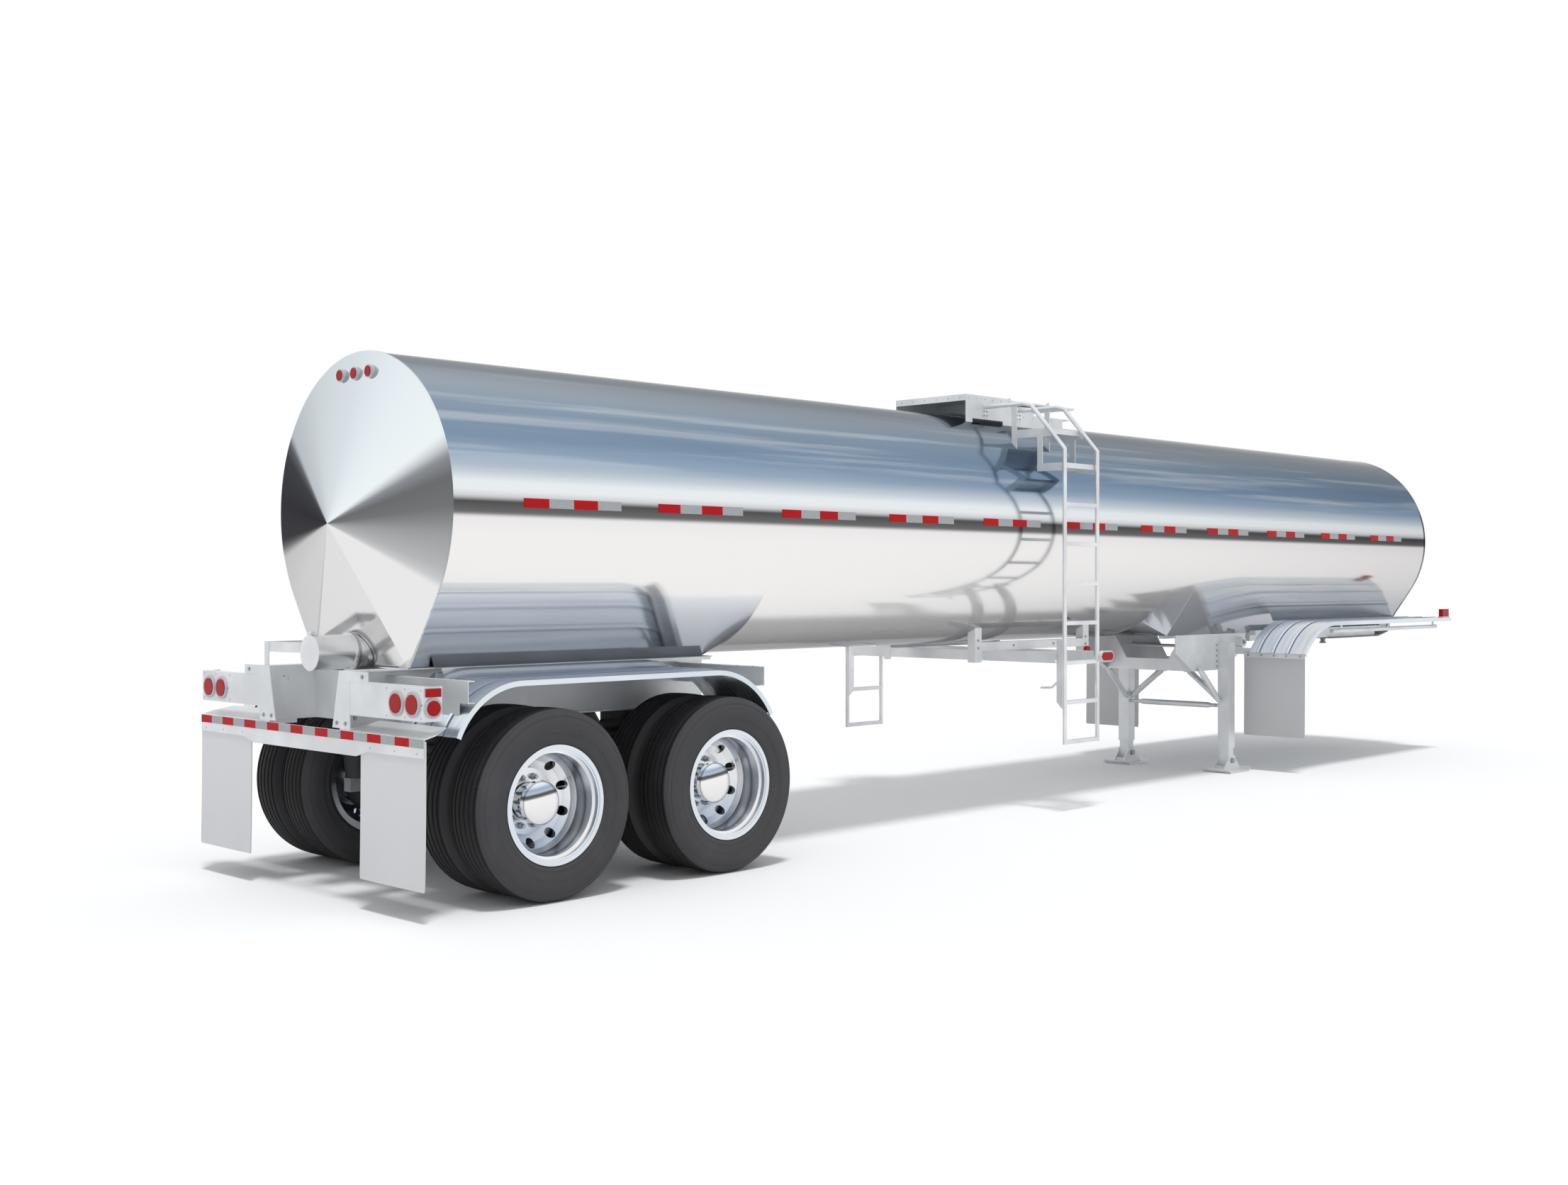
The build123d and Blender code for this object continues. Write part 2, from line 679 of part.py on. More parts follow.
# Rear frame
rail_section = (
    (RAIL_INNER_Y, RAIL_BOTTOM_Z),
    (RAIL_OUTER_Y, RAIL_BOTTOM_Z),
    (RAIL_OUTER_Y, RAIL_BOTTOM_Z + RAIL_PLATE),
    (RAIL_INNER_Y + RAIL_PLATE, RAIL_BOTTOM_Z + RAIL_PLATE),
    (RAIL_INNER_Y + RAIL_PLATE, RAIL_TOP_Z - RAIL_PLATE),
    (RAIL_OUTER_Y, RAIL_TOP_Z - RAIL_PLATE),
    (RAIL_OUTER_Y, RAIL_TOP_Z),
    (RAIL_INNER_Y, RAIL_TOP_Z),
)
end_plate_outline = (
    (END_PLATE_FOOT_Y, RAIL_BOTTOM_Z),
    (RAIL_OUTER_Y, RAIL_BOTTOM_Z),
    (RAIL_OUTER_Y, TAB_Z),
    (TAB_Y, TAB_Z),
    (TAB_Y, RAIL_TOP_Z),
    (RAIL_INNER_Y, RAIL_TOP_Z),
)
rail_hole = side_disc(RAIL_HOLE_X, RAIL_INNER_Y, RAIL_INNER_Y + RAIL_PLATE, RAIL_HOLE_Z, RAIL_HOLE_RADIUS)
rail = fuse(
    cut(cross_plate(rail_section, RAIL_REAR_X, RAIL_FRONT_X), rail_hole, rim_skin),
    cross_plate(end_plate_outline, RAIL_REAR_X - END_PLATE, RAIL_REAR_X),
)
cross_plates = [
    block((x, x + RAIL_PLATE), (-RAIL_INNER_Y, RAIL_INNER_Y), (RAIL_BOTTOM_Z, CROSS_PLATE_TOP_Z))
    for x in CROSS_PLATE_XS
]
save("frame_rails", fuse(rail, other_side(rail), *cross_plates))

bumper_half = (
    (0, BUMPER_MID_BOTTOM_Z),
    (BUMPER_TAPER_INNER_Y, BUMPER_MID_BOTTOM_Z),
    (BUMPER_TAPER_OUTER_Y, BUMPER_END_BOTTOM_Z),
    (BUMPER_HALF_WIDTH, BUMPER_END_BOTTOM_Z),
    (BUMPER_HALF_WIDTH, BUMPER_TOP_Z),
    (0, BUMPER_TOP_Z),
)
bumper_inner_x = BUMPER_REAR_X + BUMPER_PLATE
bumper_flange = side_plate(
    (
        (BUMPER_REAR_X, BUMPER_TOP_Z - BUMPER_PLATE),
        (BUMPER_FLANGE_X, BUMPER_TOP_Z + BUMPER_FLANGE_RISE - BUMPER_PLATE),
        (BUMPER_FLANGE_X, BUMPER_TOP_Z + BUMPER_FLANGE_RISE),
        (BUMPER_REAR_X, BUMPER_TOP_Z),
    ),
    RAIL_OUTER_Y + BUMPER_PLATE,
    BUMPER_HALF_WIDTH,
)
corner_cut = flat_plate(
    (
        (BUMPER_FLANGE_X, BUMPER_HALF_WIDTH - BUMPER_CORNER_CUT),
        (BUMPER_FLANGE_X, BUMPER_HALF_WIDTH),
        (BUMPER_CORNER_X, BUMPER_HALF_WIDTH),
    ),
    BUMPER_END_BOTTOM_Z,
    BUMPER_TOP_Z + BUMPER_FLANGE_RISE,
)
bumper_seat = block(
    (bumper_inner_x, BUMPER_FLANGE_X),
    (RAIL_INNER_Y, RAIL_OUTER_Y),
    (BUMPER_TOP_Z - BUMPER_SEAT_DEPTH, RAIL_BOTTOM_Z - SEAT_GAP),
)
bumper_side = fuse(
    cross_plate(bumper_half, BUMPER_REAR_X, bumper_inner_x), cut(bumper_flange, corner_cut), bumper_seat
)
save("bumper", fuse(bumper_side, other_side(bumper_side)))

panel_inner_y = RAIL_OUTER_Y + SEAT_GAP
panel_ys = (panel_inner_y, PANEL_OUTER_Y)
panel_zs = (PANEL_BOTTOM_Z, PANEL_TOP_Z)
flange_xs = (PANEL_REAR_X, PANEL_REAR_X + PANEL_FLANGE)
panel = fuse(
    block((PANEL_REAR_X, PANEL_REAR_X + PANEL_PLATE), panel_ys, panel_zs),
    block(
        (PANEL_REAR_X, PANEL_REAR_X + PANEL_RETURN),
        (PANEL_OUTER_Y - PANEL_PLATE, PANEL_OUTER_Y),
        panel_zs,
    ),
    block(flange_xs, (panel_inner_y, panel_inner_y + PANEL_PLATE), panel_zs),
    block(flange_xs, panel_ys, (PANEL_TOP_Z - PANEL_PLATE, PANEL_TOP_Z)),
    block(flange_xs, panel_ys, (PANEL_BOTTOM_Z, PANEL_BOTTOM_Z + PANEL_PLATE)),
)
save("lamp_panels", both_sides(panel))

rear_flap_x = bumper_inner_x + SEAT_GAP
rear_flap = block(
    (rear_flap_x, rear_flap_x + FLAP_THICKNESS),
    (REAR_FLAP_INNER_Y, BUMPER_HALF_WIDTH + REAR_FLAP_OVERHANG),
    (REAR_FLAP_BOTTOM_Z, REAR_FLAP_TOP_Z),
)
save("rear_flaps", both_sides(rear_flap))

# Outlet can with its hinged cap and the cap hoop
cap_pin_x = CAN_REAR_X - CAP_GAP - CAP_THICKNESS / 2
cap_pin_z = CAN_Z + CAN_OUTER_RADIUS + CAP_PIN_RISE
beads = [
    disc(x, x - CAN_BEAD_WIDTH, 0, CAN_Z, CAN_OUTER_RADIUS + CAN_BEAD_RISE)
    for x in (CAN_BEAD_X, CAN_BEAD_X - CAN_BEAD_SPACING)
]
lug_top_z = cap_pin_z + CAP_KNUCKLE_RADIUS
lug_low_z = CAN_Z + CAN_OUTER_RADIUS - CAN_WALL
lug_knee_z = cap_pin_z - CAP_KNUCKLE_RADIUS
lug_outline = (
    (CAN_REAR_X + CAP_LUG_SETBACK, lug_low_z),
    (CAN_REAR_X + CAP_LUG_FOOT, lug_low_z),
    (CAN_REAR_X + CAP_LUG_FOOT, lug_knee_z),
    (cap_pin_x + CAP_KNUCKLE_RADIUS, lug_top_z),
    (cap_pin_x - CAP_KNUCKLE_RADIUS, lug_top_z),
    (cap_pin_x - CAP_KNUCKLE_RADIUS, cap_pin_z - CAP_LUG_NOSE),
    (cap_pin_x - CAP_LUG_NOSE, lug_knee_z),
    (CAN_REAR_X + CAP_LUG_SETBACK, lug_knee_z),
)
lug_inner_y = CAP_KNUCKLE_HALF + SEAT_GAP
lug_outer_y = lug_inner_y + CAP_LUG_WIDTH
can_lug = side_plate(lug_outline, lug_inner_y, lug_outer_y)
can_bore = disc(CAN_REAR_X, head_base_x, 0, CAN_Z, CAN_OUTER_RADIUS - CAN_WALL)
can = fuse(disc(CAN_REAR_X, head_base_x, 0, CAN_Z, CAN_OUTER_RADIUS), *beads, can_lug, other_side(can_lug))
cap_pin = side_disc(cap_pin_x, -lug_outer_y, lug_outer_y, cap_pin_z, CAP_PIN_RADIUS)
save("outlet_can", fuse(cut(can, can_bore, rear_skin, rim_skin), cap_pin))

cap_knuckle = side_disc(cap_pin_x, -CAP_KNUCKLE_HALF, CAP_KNUCKLE_HALF, cap_pin_z, CAP_KNUCKLE_RADIUS)
cap_bore_radius = CAP_PIN_RADIUS + CAP_PIN_CLEARANCE
cap_bore = side_disc(cap_pin_x, -CAP_KNUCKLE_HALF, CAP_KNUCKLE_HALF, cap_pin_z, cap_bore_radius)
cap = fuse(
    disc(CAN_REAR_X - CAP_GAP - CAP_THICKNESS, CAN_REAR_X - CAP_GAP, 0, CAN_Z, CAN_OUTER_RADIUS + CAP_LIP),
    block(
        (cap_pin_x - CAP_THICKNESS / 2, cap_pin_x + CAP_THICKNESS / 2),
        (-CAP_KNUCKLE_HALF, CAP_KNUCKLE_HALF),
        (CAN_Z, cap_pin_z),
    ),
    cap_knuckle,
)
save("outlet_cap", cut(cap, cap_bore))


def hoop_body(inset):
    mid_x = HOOP_REAR_X + HOOP_RADIUS
    bend_y = HOOP_POST_Y - HOOP_LENGTH_Y + HOOP_RADIUS
    radius = HOOP_RADIUS - inset
    straight = block(
        (mid_x - radius, mid_x + radius), (bend_y, HOOP_POST_Y - inset), (HOOP_Z, HOOP_Z + HOOP_HEIGHT)
    )
    return fuse(straight, upright(mid_x, bend_y, HOOP_Z, HOOP_Z + HOOP_HEIGHT, radius))


hoop_post = block(
    (HOOP_REAR_X - HOOP_STRIP, HOOP_REAR_X),
    (HOOP_POST_Y - HOOP_POST_WIDTH / 2, HOOP_POST_Y + HOOP_POST_WIDTH / 2),
    (RAIL_TOP_Z + SEAT_GAP, HOOP_Z + HOOP_HEIGHT),
)
save("cap_hoop", fuse(cut(hoop_body(0), hoop_body(HOOP_STRIP)), hoop_post))


# Fenders
def bend(centre_x, centre_z, radius, y, start, end):
    angles = [radians(angle) for angle in (start, (start + end) / 2, end)]
    points = [(centre_x + radius * cos(a), y, centre_z + radius * sin(a)) for a in angles]
    return Edge.make_three_point_arc(*points)


def fender_edges(line, offset, y):
    """Edges of a fender line moved outward by the offset, from its rear end to its front end."""
    rear_x, rear_bend_x, front_bend_x, front_x, line_z, tip_z = line
    drop = line_z - tip_z
    run = rear_bend_x - rear_x
    radius = (run * run + drop * drop) / (2 * drop)
    tip_angle = 180 - degrees(asin((radius - drop) / radius))
    edges = [
        bend(rear_bend_x, line_z - radius, radius + offset, y, tip_angle, 90),
        Edge.make_line((rear_bend_x, y, line_z + offset), (front_bend_x, y, line_z + offset)),
    ]
    if front_x > front_bend_x:
        run = front_x - front_bend_x
        radius = (run * run + drop * drop) / (2 * drop)
        tip_angle = degrees(asin((radius - drop) / radius))
        edges.append(bend(front_bend_x, line_z - radius, radius + offset, y, 90, tip_angle))
    return edges


def fender_band(line, low, high, y0, y1):
    outer = fender_edges(line, high, y0)
    inner = fender_edges(line, low, y0)
    ends = [Edge.make_line(outer[-1] @ 1, inner[-1] @ 1), Edge.make_line(outer[0] @ 0, inner[0] @ 0)]
    return Solid.extrude(Face(Wire(outer + inner + ends)), Vector(0, y1 - y0, 0))


def fender(line, rise, drop, inner_y, outer_y):
    ribs = [
        fender_band(
            line,
            rise - FENDER_SHEET,
            rise + FENDER_RIB_RISE,
            y - FENDER_RIB_WIDTH / 2,
            y + FENDER_RIB_WIDTH / 2,
        )
        for y in FENDER_RIB_YS
    ]
    return fuse(
        fender_band(line, rise - FENDER_SHEET, rise, inner_y, outer_y),
        fender_band(line, -drop, rise, outer_y - FENDER_EDGE_WIDTH, outer_y),
        *ribs,
    )


rear_fender = fender(REAR_FENDER_LINE, FENDER_SHEET_RISE, FENDER_EDGE_DROP, FENDER_INNER_Y, FENDER_OUTER_Y)
save("fender_rear_left", rear_fender)
save("fender_rear_right", other_side(rear_fender))

nose_sheet = fender(
    NOSE_FENDER_LINE,
    NOSE_SHEET_RISE,
    NOSE_EDGE_DROP,
    NOSE_FENDER_INNER_Y,
    NOSE_FENDER_OUTER_Y,
)
nose_ledge = block(
    (NOSE_FENDER_LINE[1], NOSE_FENDER_LINE[3]),
    (NOSE_LEDGE_INNER_Y, NOSE_FENDER_INNER_Y),
    (nose_sheet_z - FENDER_SHEET, nose_sheet_z),
)
nose_fender = cut(fuse(nose_sheet, nose_ledge), front_skin)
save("fender_front_left", nose_fender)
save("fender_front_right", other_side(nose_fender))

ledge_section = (
    (RAIL_OUTER_Y + SEAT_GAP, RAIL_TOP_Z),
    (LEDGE_OUTER_Y, RAIL_TOP_Z),
    (LEDGE_OUTER_Y, LEDGE_Z),
    (LEDGE_OUTER_Y - LEDGE_PLATE, LEDGE_Z),
    (LEDGE_OUTER_Y - LEDGE_PLATE, RAIL_TOP_Z - LEDGE_PLATE),
    (RAIL_OUTER_Y + SEAT_GAP, RAIL_TOP_Z - LEDGE_PLATE),
)
ledge = cross_plate(ledge_section, LEDGE_REAR_X, LEDGE_FRONT_X)

brackets = []
under_fender = fender_band(
    REAR_FENDER_LINE, -BRACKET_FLANGE, FENDER_SHEET_RISE + SEAT_GAP, FENDER_INNER_Y, FENDER_OUTER_Y
)
rib_grooves = [
    fender_band(
        REAR_FENDER_LINE,
        -BRACKET_FLANGE,
        FENDER_SHEET_RISE + FENDER_RIB_RISE + SEAT_GAP,
        y - FENDER_RIB_WIDTH / 2 - SEAT_GAP,
        y + FENDER_RIB_WIDTH / 2 + SEAT_GAP,
    )
    for y in FENDER_RIB_YS
]
bracket_inner_y = RAIL_INNER_Y + RAIL_PLATE + SEAT_GAP
for face_x, way in BRACKET_ROWS:
    plate_xs = (face_x, face_x + way * BRACKET_PLATE)
    bracket_xs = (face_x, face_x + way * BRACKET_FLANGE)
    bracket_ys = (bracket_inner_y, BRACKET_OUTER_Y)
    foot = block(plate_xs, (BRACKET_FOOT_INNER_Y, BRACKET_FOOT_OUTER_Y), (BRACKET_FOOT_Z, BRACKET_BOTTOM_Z))
    bracket = fuse(
        block(plate_xs, bracket_ys, (BRACKET_BOTTOM_Z, BRACKET_TOP_Z)),
        block(bracket_xs, bracket_ys, (BRACKET_TOP_Z - BRACKET_PLATE, BRACKET_TOP_Z)),
        block(bracket_xs, bracket_ys, (BRACKET_BOTTOM_Z, BRACKET_BOTTOM_Z + BRACKET_PLATE)),
        cut(foot, under_fender, *rib_grooves),
    )
    brackets.extend(both_sides(cut(bracket, under_fender, *rib_grooves)))
save("fender_brackets", brackets, both_sides(ledge))

# Running gear
AXLE_Z = TYRE_RADIUS
DUAL_MID_Y = OUTER_RIM_Y - RIM_WIDTH / 2 - DUAL_SPACING / 2


def turned(profile, x, mid_y, way):
    """Solid turned about an axle; profile columns are the distance outward from mid_y and the radius."""
    points = [Vector(x, way * (mid_y + out), AXLE_Z + radius) for out, radius in profile]
    return Solid.revolve(Face(Wire.make_polygon(points)), 360, Axis((x, 0, AXLE_Z), (0, 1, 0)))


heel = RIM_WIDTH / 2 - RIM_WALL - SEAT_GAP
tyre_half = ((heel, TYRE_BORE_RADIUS), (heel, TYRE_HEEL_RADIUS)) + TYRE_ROWS
tyre_profile = tyre_half + tuple((-out, radius) for out, radius in reversed(tyre_half))

rim_far = DUAL_SPACING / 2 + RIM_WIDTH / 2
rim_near = DUAL_SPACING / 2 - RIM_WIDTH / 2
barrel_radius = TYRE_BORE_RADIUS - SEAT_GAP
disc_back = SEAT_GAP / 2
cone = tuple(DISC_CONE_ROWS)
wheel_profile = (
    ((disc_back, HUB_BORE_RADIUS), (disc_back + DISC_THICKNESS, HUB_BORE_RADIUS))
    + ((disc_back + DISC_THICKNESS, DISC_FLAT_RADIUS),)
    + cone
    + (
        (rim_far - RIM_LEDGE_DEPTH, WELL_RADIUS),
        (rim_far - RIM_LEDGE_DEPTH, RIM_LEDGE_RADIUS),
        (rim_far - RIM_WALL, RIM_LEDGE_RADIUS),
        (rim_far - RIM_WALL, RIM_LIP_RADIUS),
        (rim_far, RIM_LIP_RADIUS),
        (rim_far, RIM_RADIUS),
        (rim_far - RIM_WALL, RIM_RADIUS),
        (rim_far - RIM_WALL, barrel_radius),
        (rim_near + RIM_WALL, barrel_radius),
        (rim_near + RIM_WALL, RIM_RADIUS),
        (rim_near, RIM_RADIUS),
        (rim_near, WELL_RADIUS + RIM_WALL),
    )
    + tuple((max(out - DISC_THICKNESS, disc_back), radius + RIM_WALL) for out, radius in cone[:1])
    + ((disc_back, DISC_FLAT_RADIUS),)
)

hub_profile = (
    (DRUM_FACE - DRUM_WEB, AXLE_STUB_RADIUS + AXLE_CLEARANCE),
    (HUB_CAP_FACE - HUB_CAP_WALL, AXLE_STUB_RADIUS + AXLE_CLEARANCE),
    (HUB_CAP_FACE - HUB_CAP_WALL, 0),
    (HUB_CAP_FACE, 0),
    (HUB_CAP_FACE, HUB_CAP_RADIUS - HUB_CAP_CHAMFER),
    (HUB_CAP_FACE - HUB_CAP_CHAMFER, HUB_CAP_RADIUS),
    (HUB_CAP_FACE - HUB_CAP_DEPTH, HUB_CAP_RADIUS),
    (HUB_CAP_FACE - HUB_CAP_DEPTH, HUB_BARREL_RADIUS),
    (-disc_back - DISC_THICKNESS - SEAT_GAP, HUB_BARREL_RADIUS),
    (-disc_back - DISC_THICKNESS - SEAT_GAP, HUB_FLANGE_RADIUS),
    (-disc_back - DISC_THICKNESS - HUB_FLANGE, HUB_FLANGE_RADIUS),
    (-disc_back - DISC_THICKNESS - HUB_FLANGE, HUB_NECK_RADIUS),
    (DRUM_FACE, HUB_NECK_RADIUS),
    (DRUM_FACE, DRUM_RADIUS),
    (DRUM_BACK, DRUM_RADIUS),
    (DRUM_BACK, DRUM_RADIUS - DRUM_WALL),
    (DRUM_FACE - DRUM_WEB, DRUM_RADIUS - DRUM_WALL),
)

AXLE_ROWS = (("rear", 0), ("front", AXLE_SPACING))
for row, axle_x in AXLE_ROWS:
    for side, way in (("right", -1), ("left", 1)):
        tyres = [
        turned(tyre_profile, axle_x, DUAL_MID_Y + shift, way)
        for shift in (DUAL_SPACING / 2, -DUAL_SPACING / 2)
        ]
        save(f"tyres_{row}_{side}", *tyres)
        inner_profile = tuple((-out, radius) for out, radius in wheel_profile)
        angles = [radians(HAND_HOLE_START + 360 * k / HAND_HOLE_COUNT) for k in range(HAND_HOLE_COUNT)]
        hole_ys = (way * (DUAL_MID_Y - DUAL_SPACING / 2), way * (DUAL_MID_Y + DUAL_SPACING / 2))
        holes = [
            side_disc(
                axle_x + HAND_HOLE_CIRCLE * cos(a),
                *hole_ys,
                AXLE_Z + HAND_HOLE_CIRCLE * sin(a),
                HAND_HOLE_RADIUS,
            )
            for a in angles
        ]
        wheels = [
            cut(turned(profile, axle_x, DUAL_MID_Y, way), *holes)
            for profile in (wheel_profile, inner_profile)
        ]
        save(f"wheels_{row}_{side}", *wheels)
        save(f"hub_{row}_{side}", turned(hub_profile, axle_x, DUAL_MID_Y, way))

axles = []
arms = []
air_springs = []
spring_base_z = AXLE_Z + ARM_TAIL_RISE + SEAT_GAP
spring_height = RAIL_BOTTOM_Z - SEAT_GAP - spring_base_z
for row, axle_x in AXLE_ROWS:
    shoulder_y = DUAL_MID_Y + AXLE_SHOULDER
    stub_y = DUAL_MID_Y + HUB_CAP_FACE - HUB_CAP_WALL - STUB_END_GAP
    axles.append(
        fuse(
            side_disc(axle_x, -shoulder_y, shoulder_y, AXLE_Z, AXLE_RADIUS),
            side_disc(axle_x, -stub_y, stub_y, AXLE_Z, AXLE_STUB_RADIUS),
        )
    )
    axle_seat = side_disc(axle_x, 0, shoulder_y, AXLE_Z, AXLE_RADIUS + SEAT_GAP)
    hanger = block(
        (axle_x + HANGER_XS[0], axle_x + HANGER_XS[1]),
        (SUSPENSION_Y - HANGER_WIDTH / 2, SUSPENSION_Y + HANGER_WIDTH / 2),
        (AXLE_Z + HANGER_BOTTOM_RISE, RAIL_BOTTOM_Z - SEAT_GAP),
    )
    arm_outline = [(axle_x + x, AXLE_Z + rise) for x, rise in ARM_ROWS]
    arm = cut(side_plate(arm_outline, SUSPENSION_Y - ARM_WIDTH / 2, SUSPENSION_Y + ARM_WIDTH / 2), axle_seat)
    arms.extend(both_sides(fuse(hanger, arm)))
    spring_x = axle_x + AIR_SPRING_X
    rows = [(0, 0.0)] + list(AIR_SPRING_ROWS) + [(0, 1.0)]
    points = [Vector(spring_x + r, SUSPENSION_Y, spring_base_z + share * spring_height) for r, share in rows]
    spring = Solid.revolve(
        Face(Wire.make_polygon(points)), 360, Axis((spring_x, SUSPENSION_Y, 0), (0, 0, 1))
    )
    air_springs.extend(both_sides(spring))
save("axles", *axles)
save("suspension", arms)
save("air_springs", air_springs)

# Ladders
def handrail(x, radius):
    path = (
        (x, LADDER_Y, LADDER_BOTTOM_Z),
        (x, LADDER_Y, LADDER_KNEE_Z),
        (x, *HANDRAIL_BEND),
        (x, HANDRAIL_TOP_Y, HANDRAIL_TOP_Z),
        (x, BOX_HALF_WIDTH + SEAT_GAP, HANDRAIL_TOP_Z),
    )
    return pipe(path, radius)


rungs = [
    block(
        LADDER_XS,
        (LADDER_Y - RUNG_SIZE / 2, LADDER_Y + RUNG_SIZE / 2),
        (FIRST_RUNG_Z + k * RUNG_PITCH - RUNG_SIZE / 2, FIRST_RUNG_Z + k * RUNG_PITCH + RUNG_SIZE / 2),
    )
    for k in range(RUNG_COUNT)
]
plate_x0 = LADDER_XS[0] - HANGING_PLATE / 2
hanging_plate = cross_plate(
    (
        (HANGING_PLATE_INNER_Y, HANGING_PLATE_TOP_Z),
        (HANGING_PLATE_INNER_Y, HANGING_PLATE_BOTTOM_Z + HANGING_PLATE_CUT),
        (HANGING_PLATE_INNER_Y + HANGING_PLATE_CUT, HANGING_PLATE_BOTTOM_Z),
        (LADDER_Y, HANGING_PLATE_BOTTOM_Z),
        (LADDER_Y, HANGING_PLATE_TOP_Z),
    ),
    plate_x0,
    plate_x0 + HANGING_PLATE,
)
end_pads = [
    block(
        (x - HANDRAIL_PLATE_HALF, x + HANDRAIL_PLATE_HALF),
        (BOX_HALF_WIDTH + SEAT_GAP, BOX_HALF_WIDTH + HANDRAIL_PLATE),
        (HANDRAIL_PLATE_BOTTOM_Z, HANDRAIL_TOP_Z + LADDER_TUBE_RADIUS),
    )
    for x in LADDER_XS
]
ladder = fuse(*[handrail(x, LADDER_TUBE_RADIUS) for x in LADDER_XS], *rungs, hanging_plate, *end_pads)
save("ladder_left", ladder)
save("ladder_right", other_side(ladder))

hook_points = [(LADDER_XS[0], y, z) for y, z in HOOK_ROWS]
plate_zone = block(
    (LADDER_XS[0] - HOOK_ROD_RADIUS, LADDER_XS[0] + HOOK_ROD_RADIUS),
    (HANGING_PLATE_INNER_Y - SEAT_GAP, LADDER_Y),
    (HANGING_PLATE_BOTTOM_Z, HANGING_PLATE_TOP_Z),
)
save("hose_hook", other_side(cut(pipe(hook_points, HOOK_ROD_RADIUS), plate_zone)))

# Steps above the ladders
stringer_outline = (
    (STEP_BAR_INNER_Y, STEP_BAR_TOP_Z),
    (STEP_BAR_OUTER_Y, STEP_BAR_TOP_Z),
    (STEP_BAR_OUTER_Y, STEP_TREAD_TOP_Z),
    (STEP_TREAD_OUTER_Y, STEP_TREAD_TOP_Z),
    STEP_GUSSET,
    (STEP_GUSSET[0], STEP_TREAD_BOTTOM_Z),
    (STEP_POST_OUTER_Y, STEP_TREAD_BOTTOM_Z),
    (STEP_POST_OUTER_Y, LOWER_TREAD_TOP_Z),
    (LADDER_Y, LOWER_TREAD_TOP_Z),
    (LADDER_Y, LOWER_TREAD_BOTTOM_Z),
    (STEP_POST_INNER_Y, LOWER_TREAD_BOTTOM_Z),
    (STEP_POST_INNER_Y, STEP_TREAD_BOTTOM_Z),
    (STEP_BAR_OUTER_Y, STEP_TREAD_BOTTOM_Z),
    (STEP_BAR_OUTER_Y, STEP_FOOT_Z),
    (STEP_BAR_INNER_Y, STEP_FOOT_Z),
)
stringers = [cross_plate(stringer_outline, x - STEP_PLATE / 2, x + STEP_PLATE / 2) for x in LADDER_XS]


def pan(y0, y1, top_z):
    return fuse(
        block(LADDER_XS, (y0, y1), (top_z - TREAD_SHEET, top_z)),
        block(LADDER_XS, (y0, y0 + TREAD_SHEET), (top_z - TREAD_RIM, top_z)),
        block(LADDER_XS, (y1 - TREAD_SHEET, y1), (top_z - TREAD_RIM, top_z)),
    )


steps = fuse(
    *stringers,
    pan(STEP_BAR_OUTER_Y, STEP_TREAD_OUTER_Y, STEP_TREAD_TOP_Z),
    pan(STEP_POST_OUTER_Y, LADDER_Y - LADDER_TUBE_RADIUS - SEAT_GAP, LOWER_TREAD_TOP_Z),
)
rails_grown = [handrail(x, LADDER_TUBE_RADIUS + SEAT_GAP) for x in LADDER_XS]
steps = cut(steps, *rails_grown, round_skin)
step_main = max(steps.solids(), key=lambda solid: solid.volume)
save("steps_left", step_main)
save("steps_right", other_side(step_main))

# Belly beams and hangers
def angle_section(xs, ys, plate):
    return (
        (xs[0], ys[0]),
        (xs[0], ys[1]),
        (xs[1], ys[1]),
        (xs[1], ys[1] - plate),
        (xs[0] + plate, ys[1] - plate),
        (xs[0] + plate, ys[0]),
    )


lateral_top_z = BELLY_BEAM_BOTTOM_Z - SEAT_GAP
laterals = []
for x, end_y in (
    (LADDER_XS[0], HANGING_PLATE_INNER_Y - SEAT_GAP),
    (LADDER_XS[1], LADDER_Y - LADDER_TUBE_RADIUS - SEAT_GAP),
):
    x0 = x - LATERAL_DEPTH_X / 2
    x1 = x + LATERAL_DEPTH_X / 2
    outline = (
        (x0, LATERAL_BOTTOM_Z),
        (x1, LATERAL_BOTTOM_Z),
        (x1, LATERAL_BOTTOM_Z + LATERAL_PLATE),
        (x0 + LATERAL_PLATE, LATERAL_BOTTOM_Z + LATERAL_PLATE),
        (x0 + LATERAL_PLATE, lateral_top_z - LATERAL_PLATE),
        (x1, lateral_top_z - LATERAL_PLATE),
        (x1, lateral_top_z),
        (x0, lateral_top_z),
    )
    laterals.append(side_plate(outline, -end_y, end_y))

hanger_ys = (BELLY_HANGER_INNER_Y, BELLY_HANGER_OUTER_Y)
rear_hanger_xs = (BELLY_HANGER_REAR_X, BELLY_HANGER_REAR_X + BELLY_HANGER_LENGTH)
front_hanger_xs = (BELLY_HANGER_FRONT_X - BELLY_HANGER_LENGTH, BELLY_HANGER_FRONT_X)
rear_hanger = flat_plate(
    angle_section(rear_hanger_xs, hanger_ys, BELLY_BEAM_PLATE), BELLY_HANGER_BOTTOM_Z, BELLY_HANGER_TOP_Z
)
front_hanger = flat_plate(
    angle_section(front_hanger_xs, hanger_ys, BELLY_BEAM_PLATE), MID_HANGER_BOTTOM_Z, BELLY_HANGER_TOP_Z
)
hangers = [both_sides(cut(hanger, round_skin)) for hanger in (rear_hanger, front_hanger)]
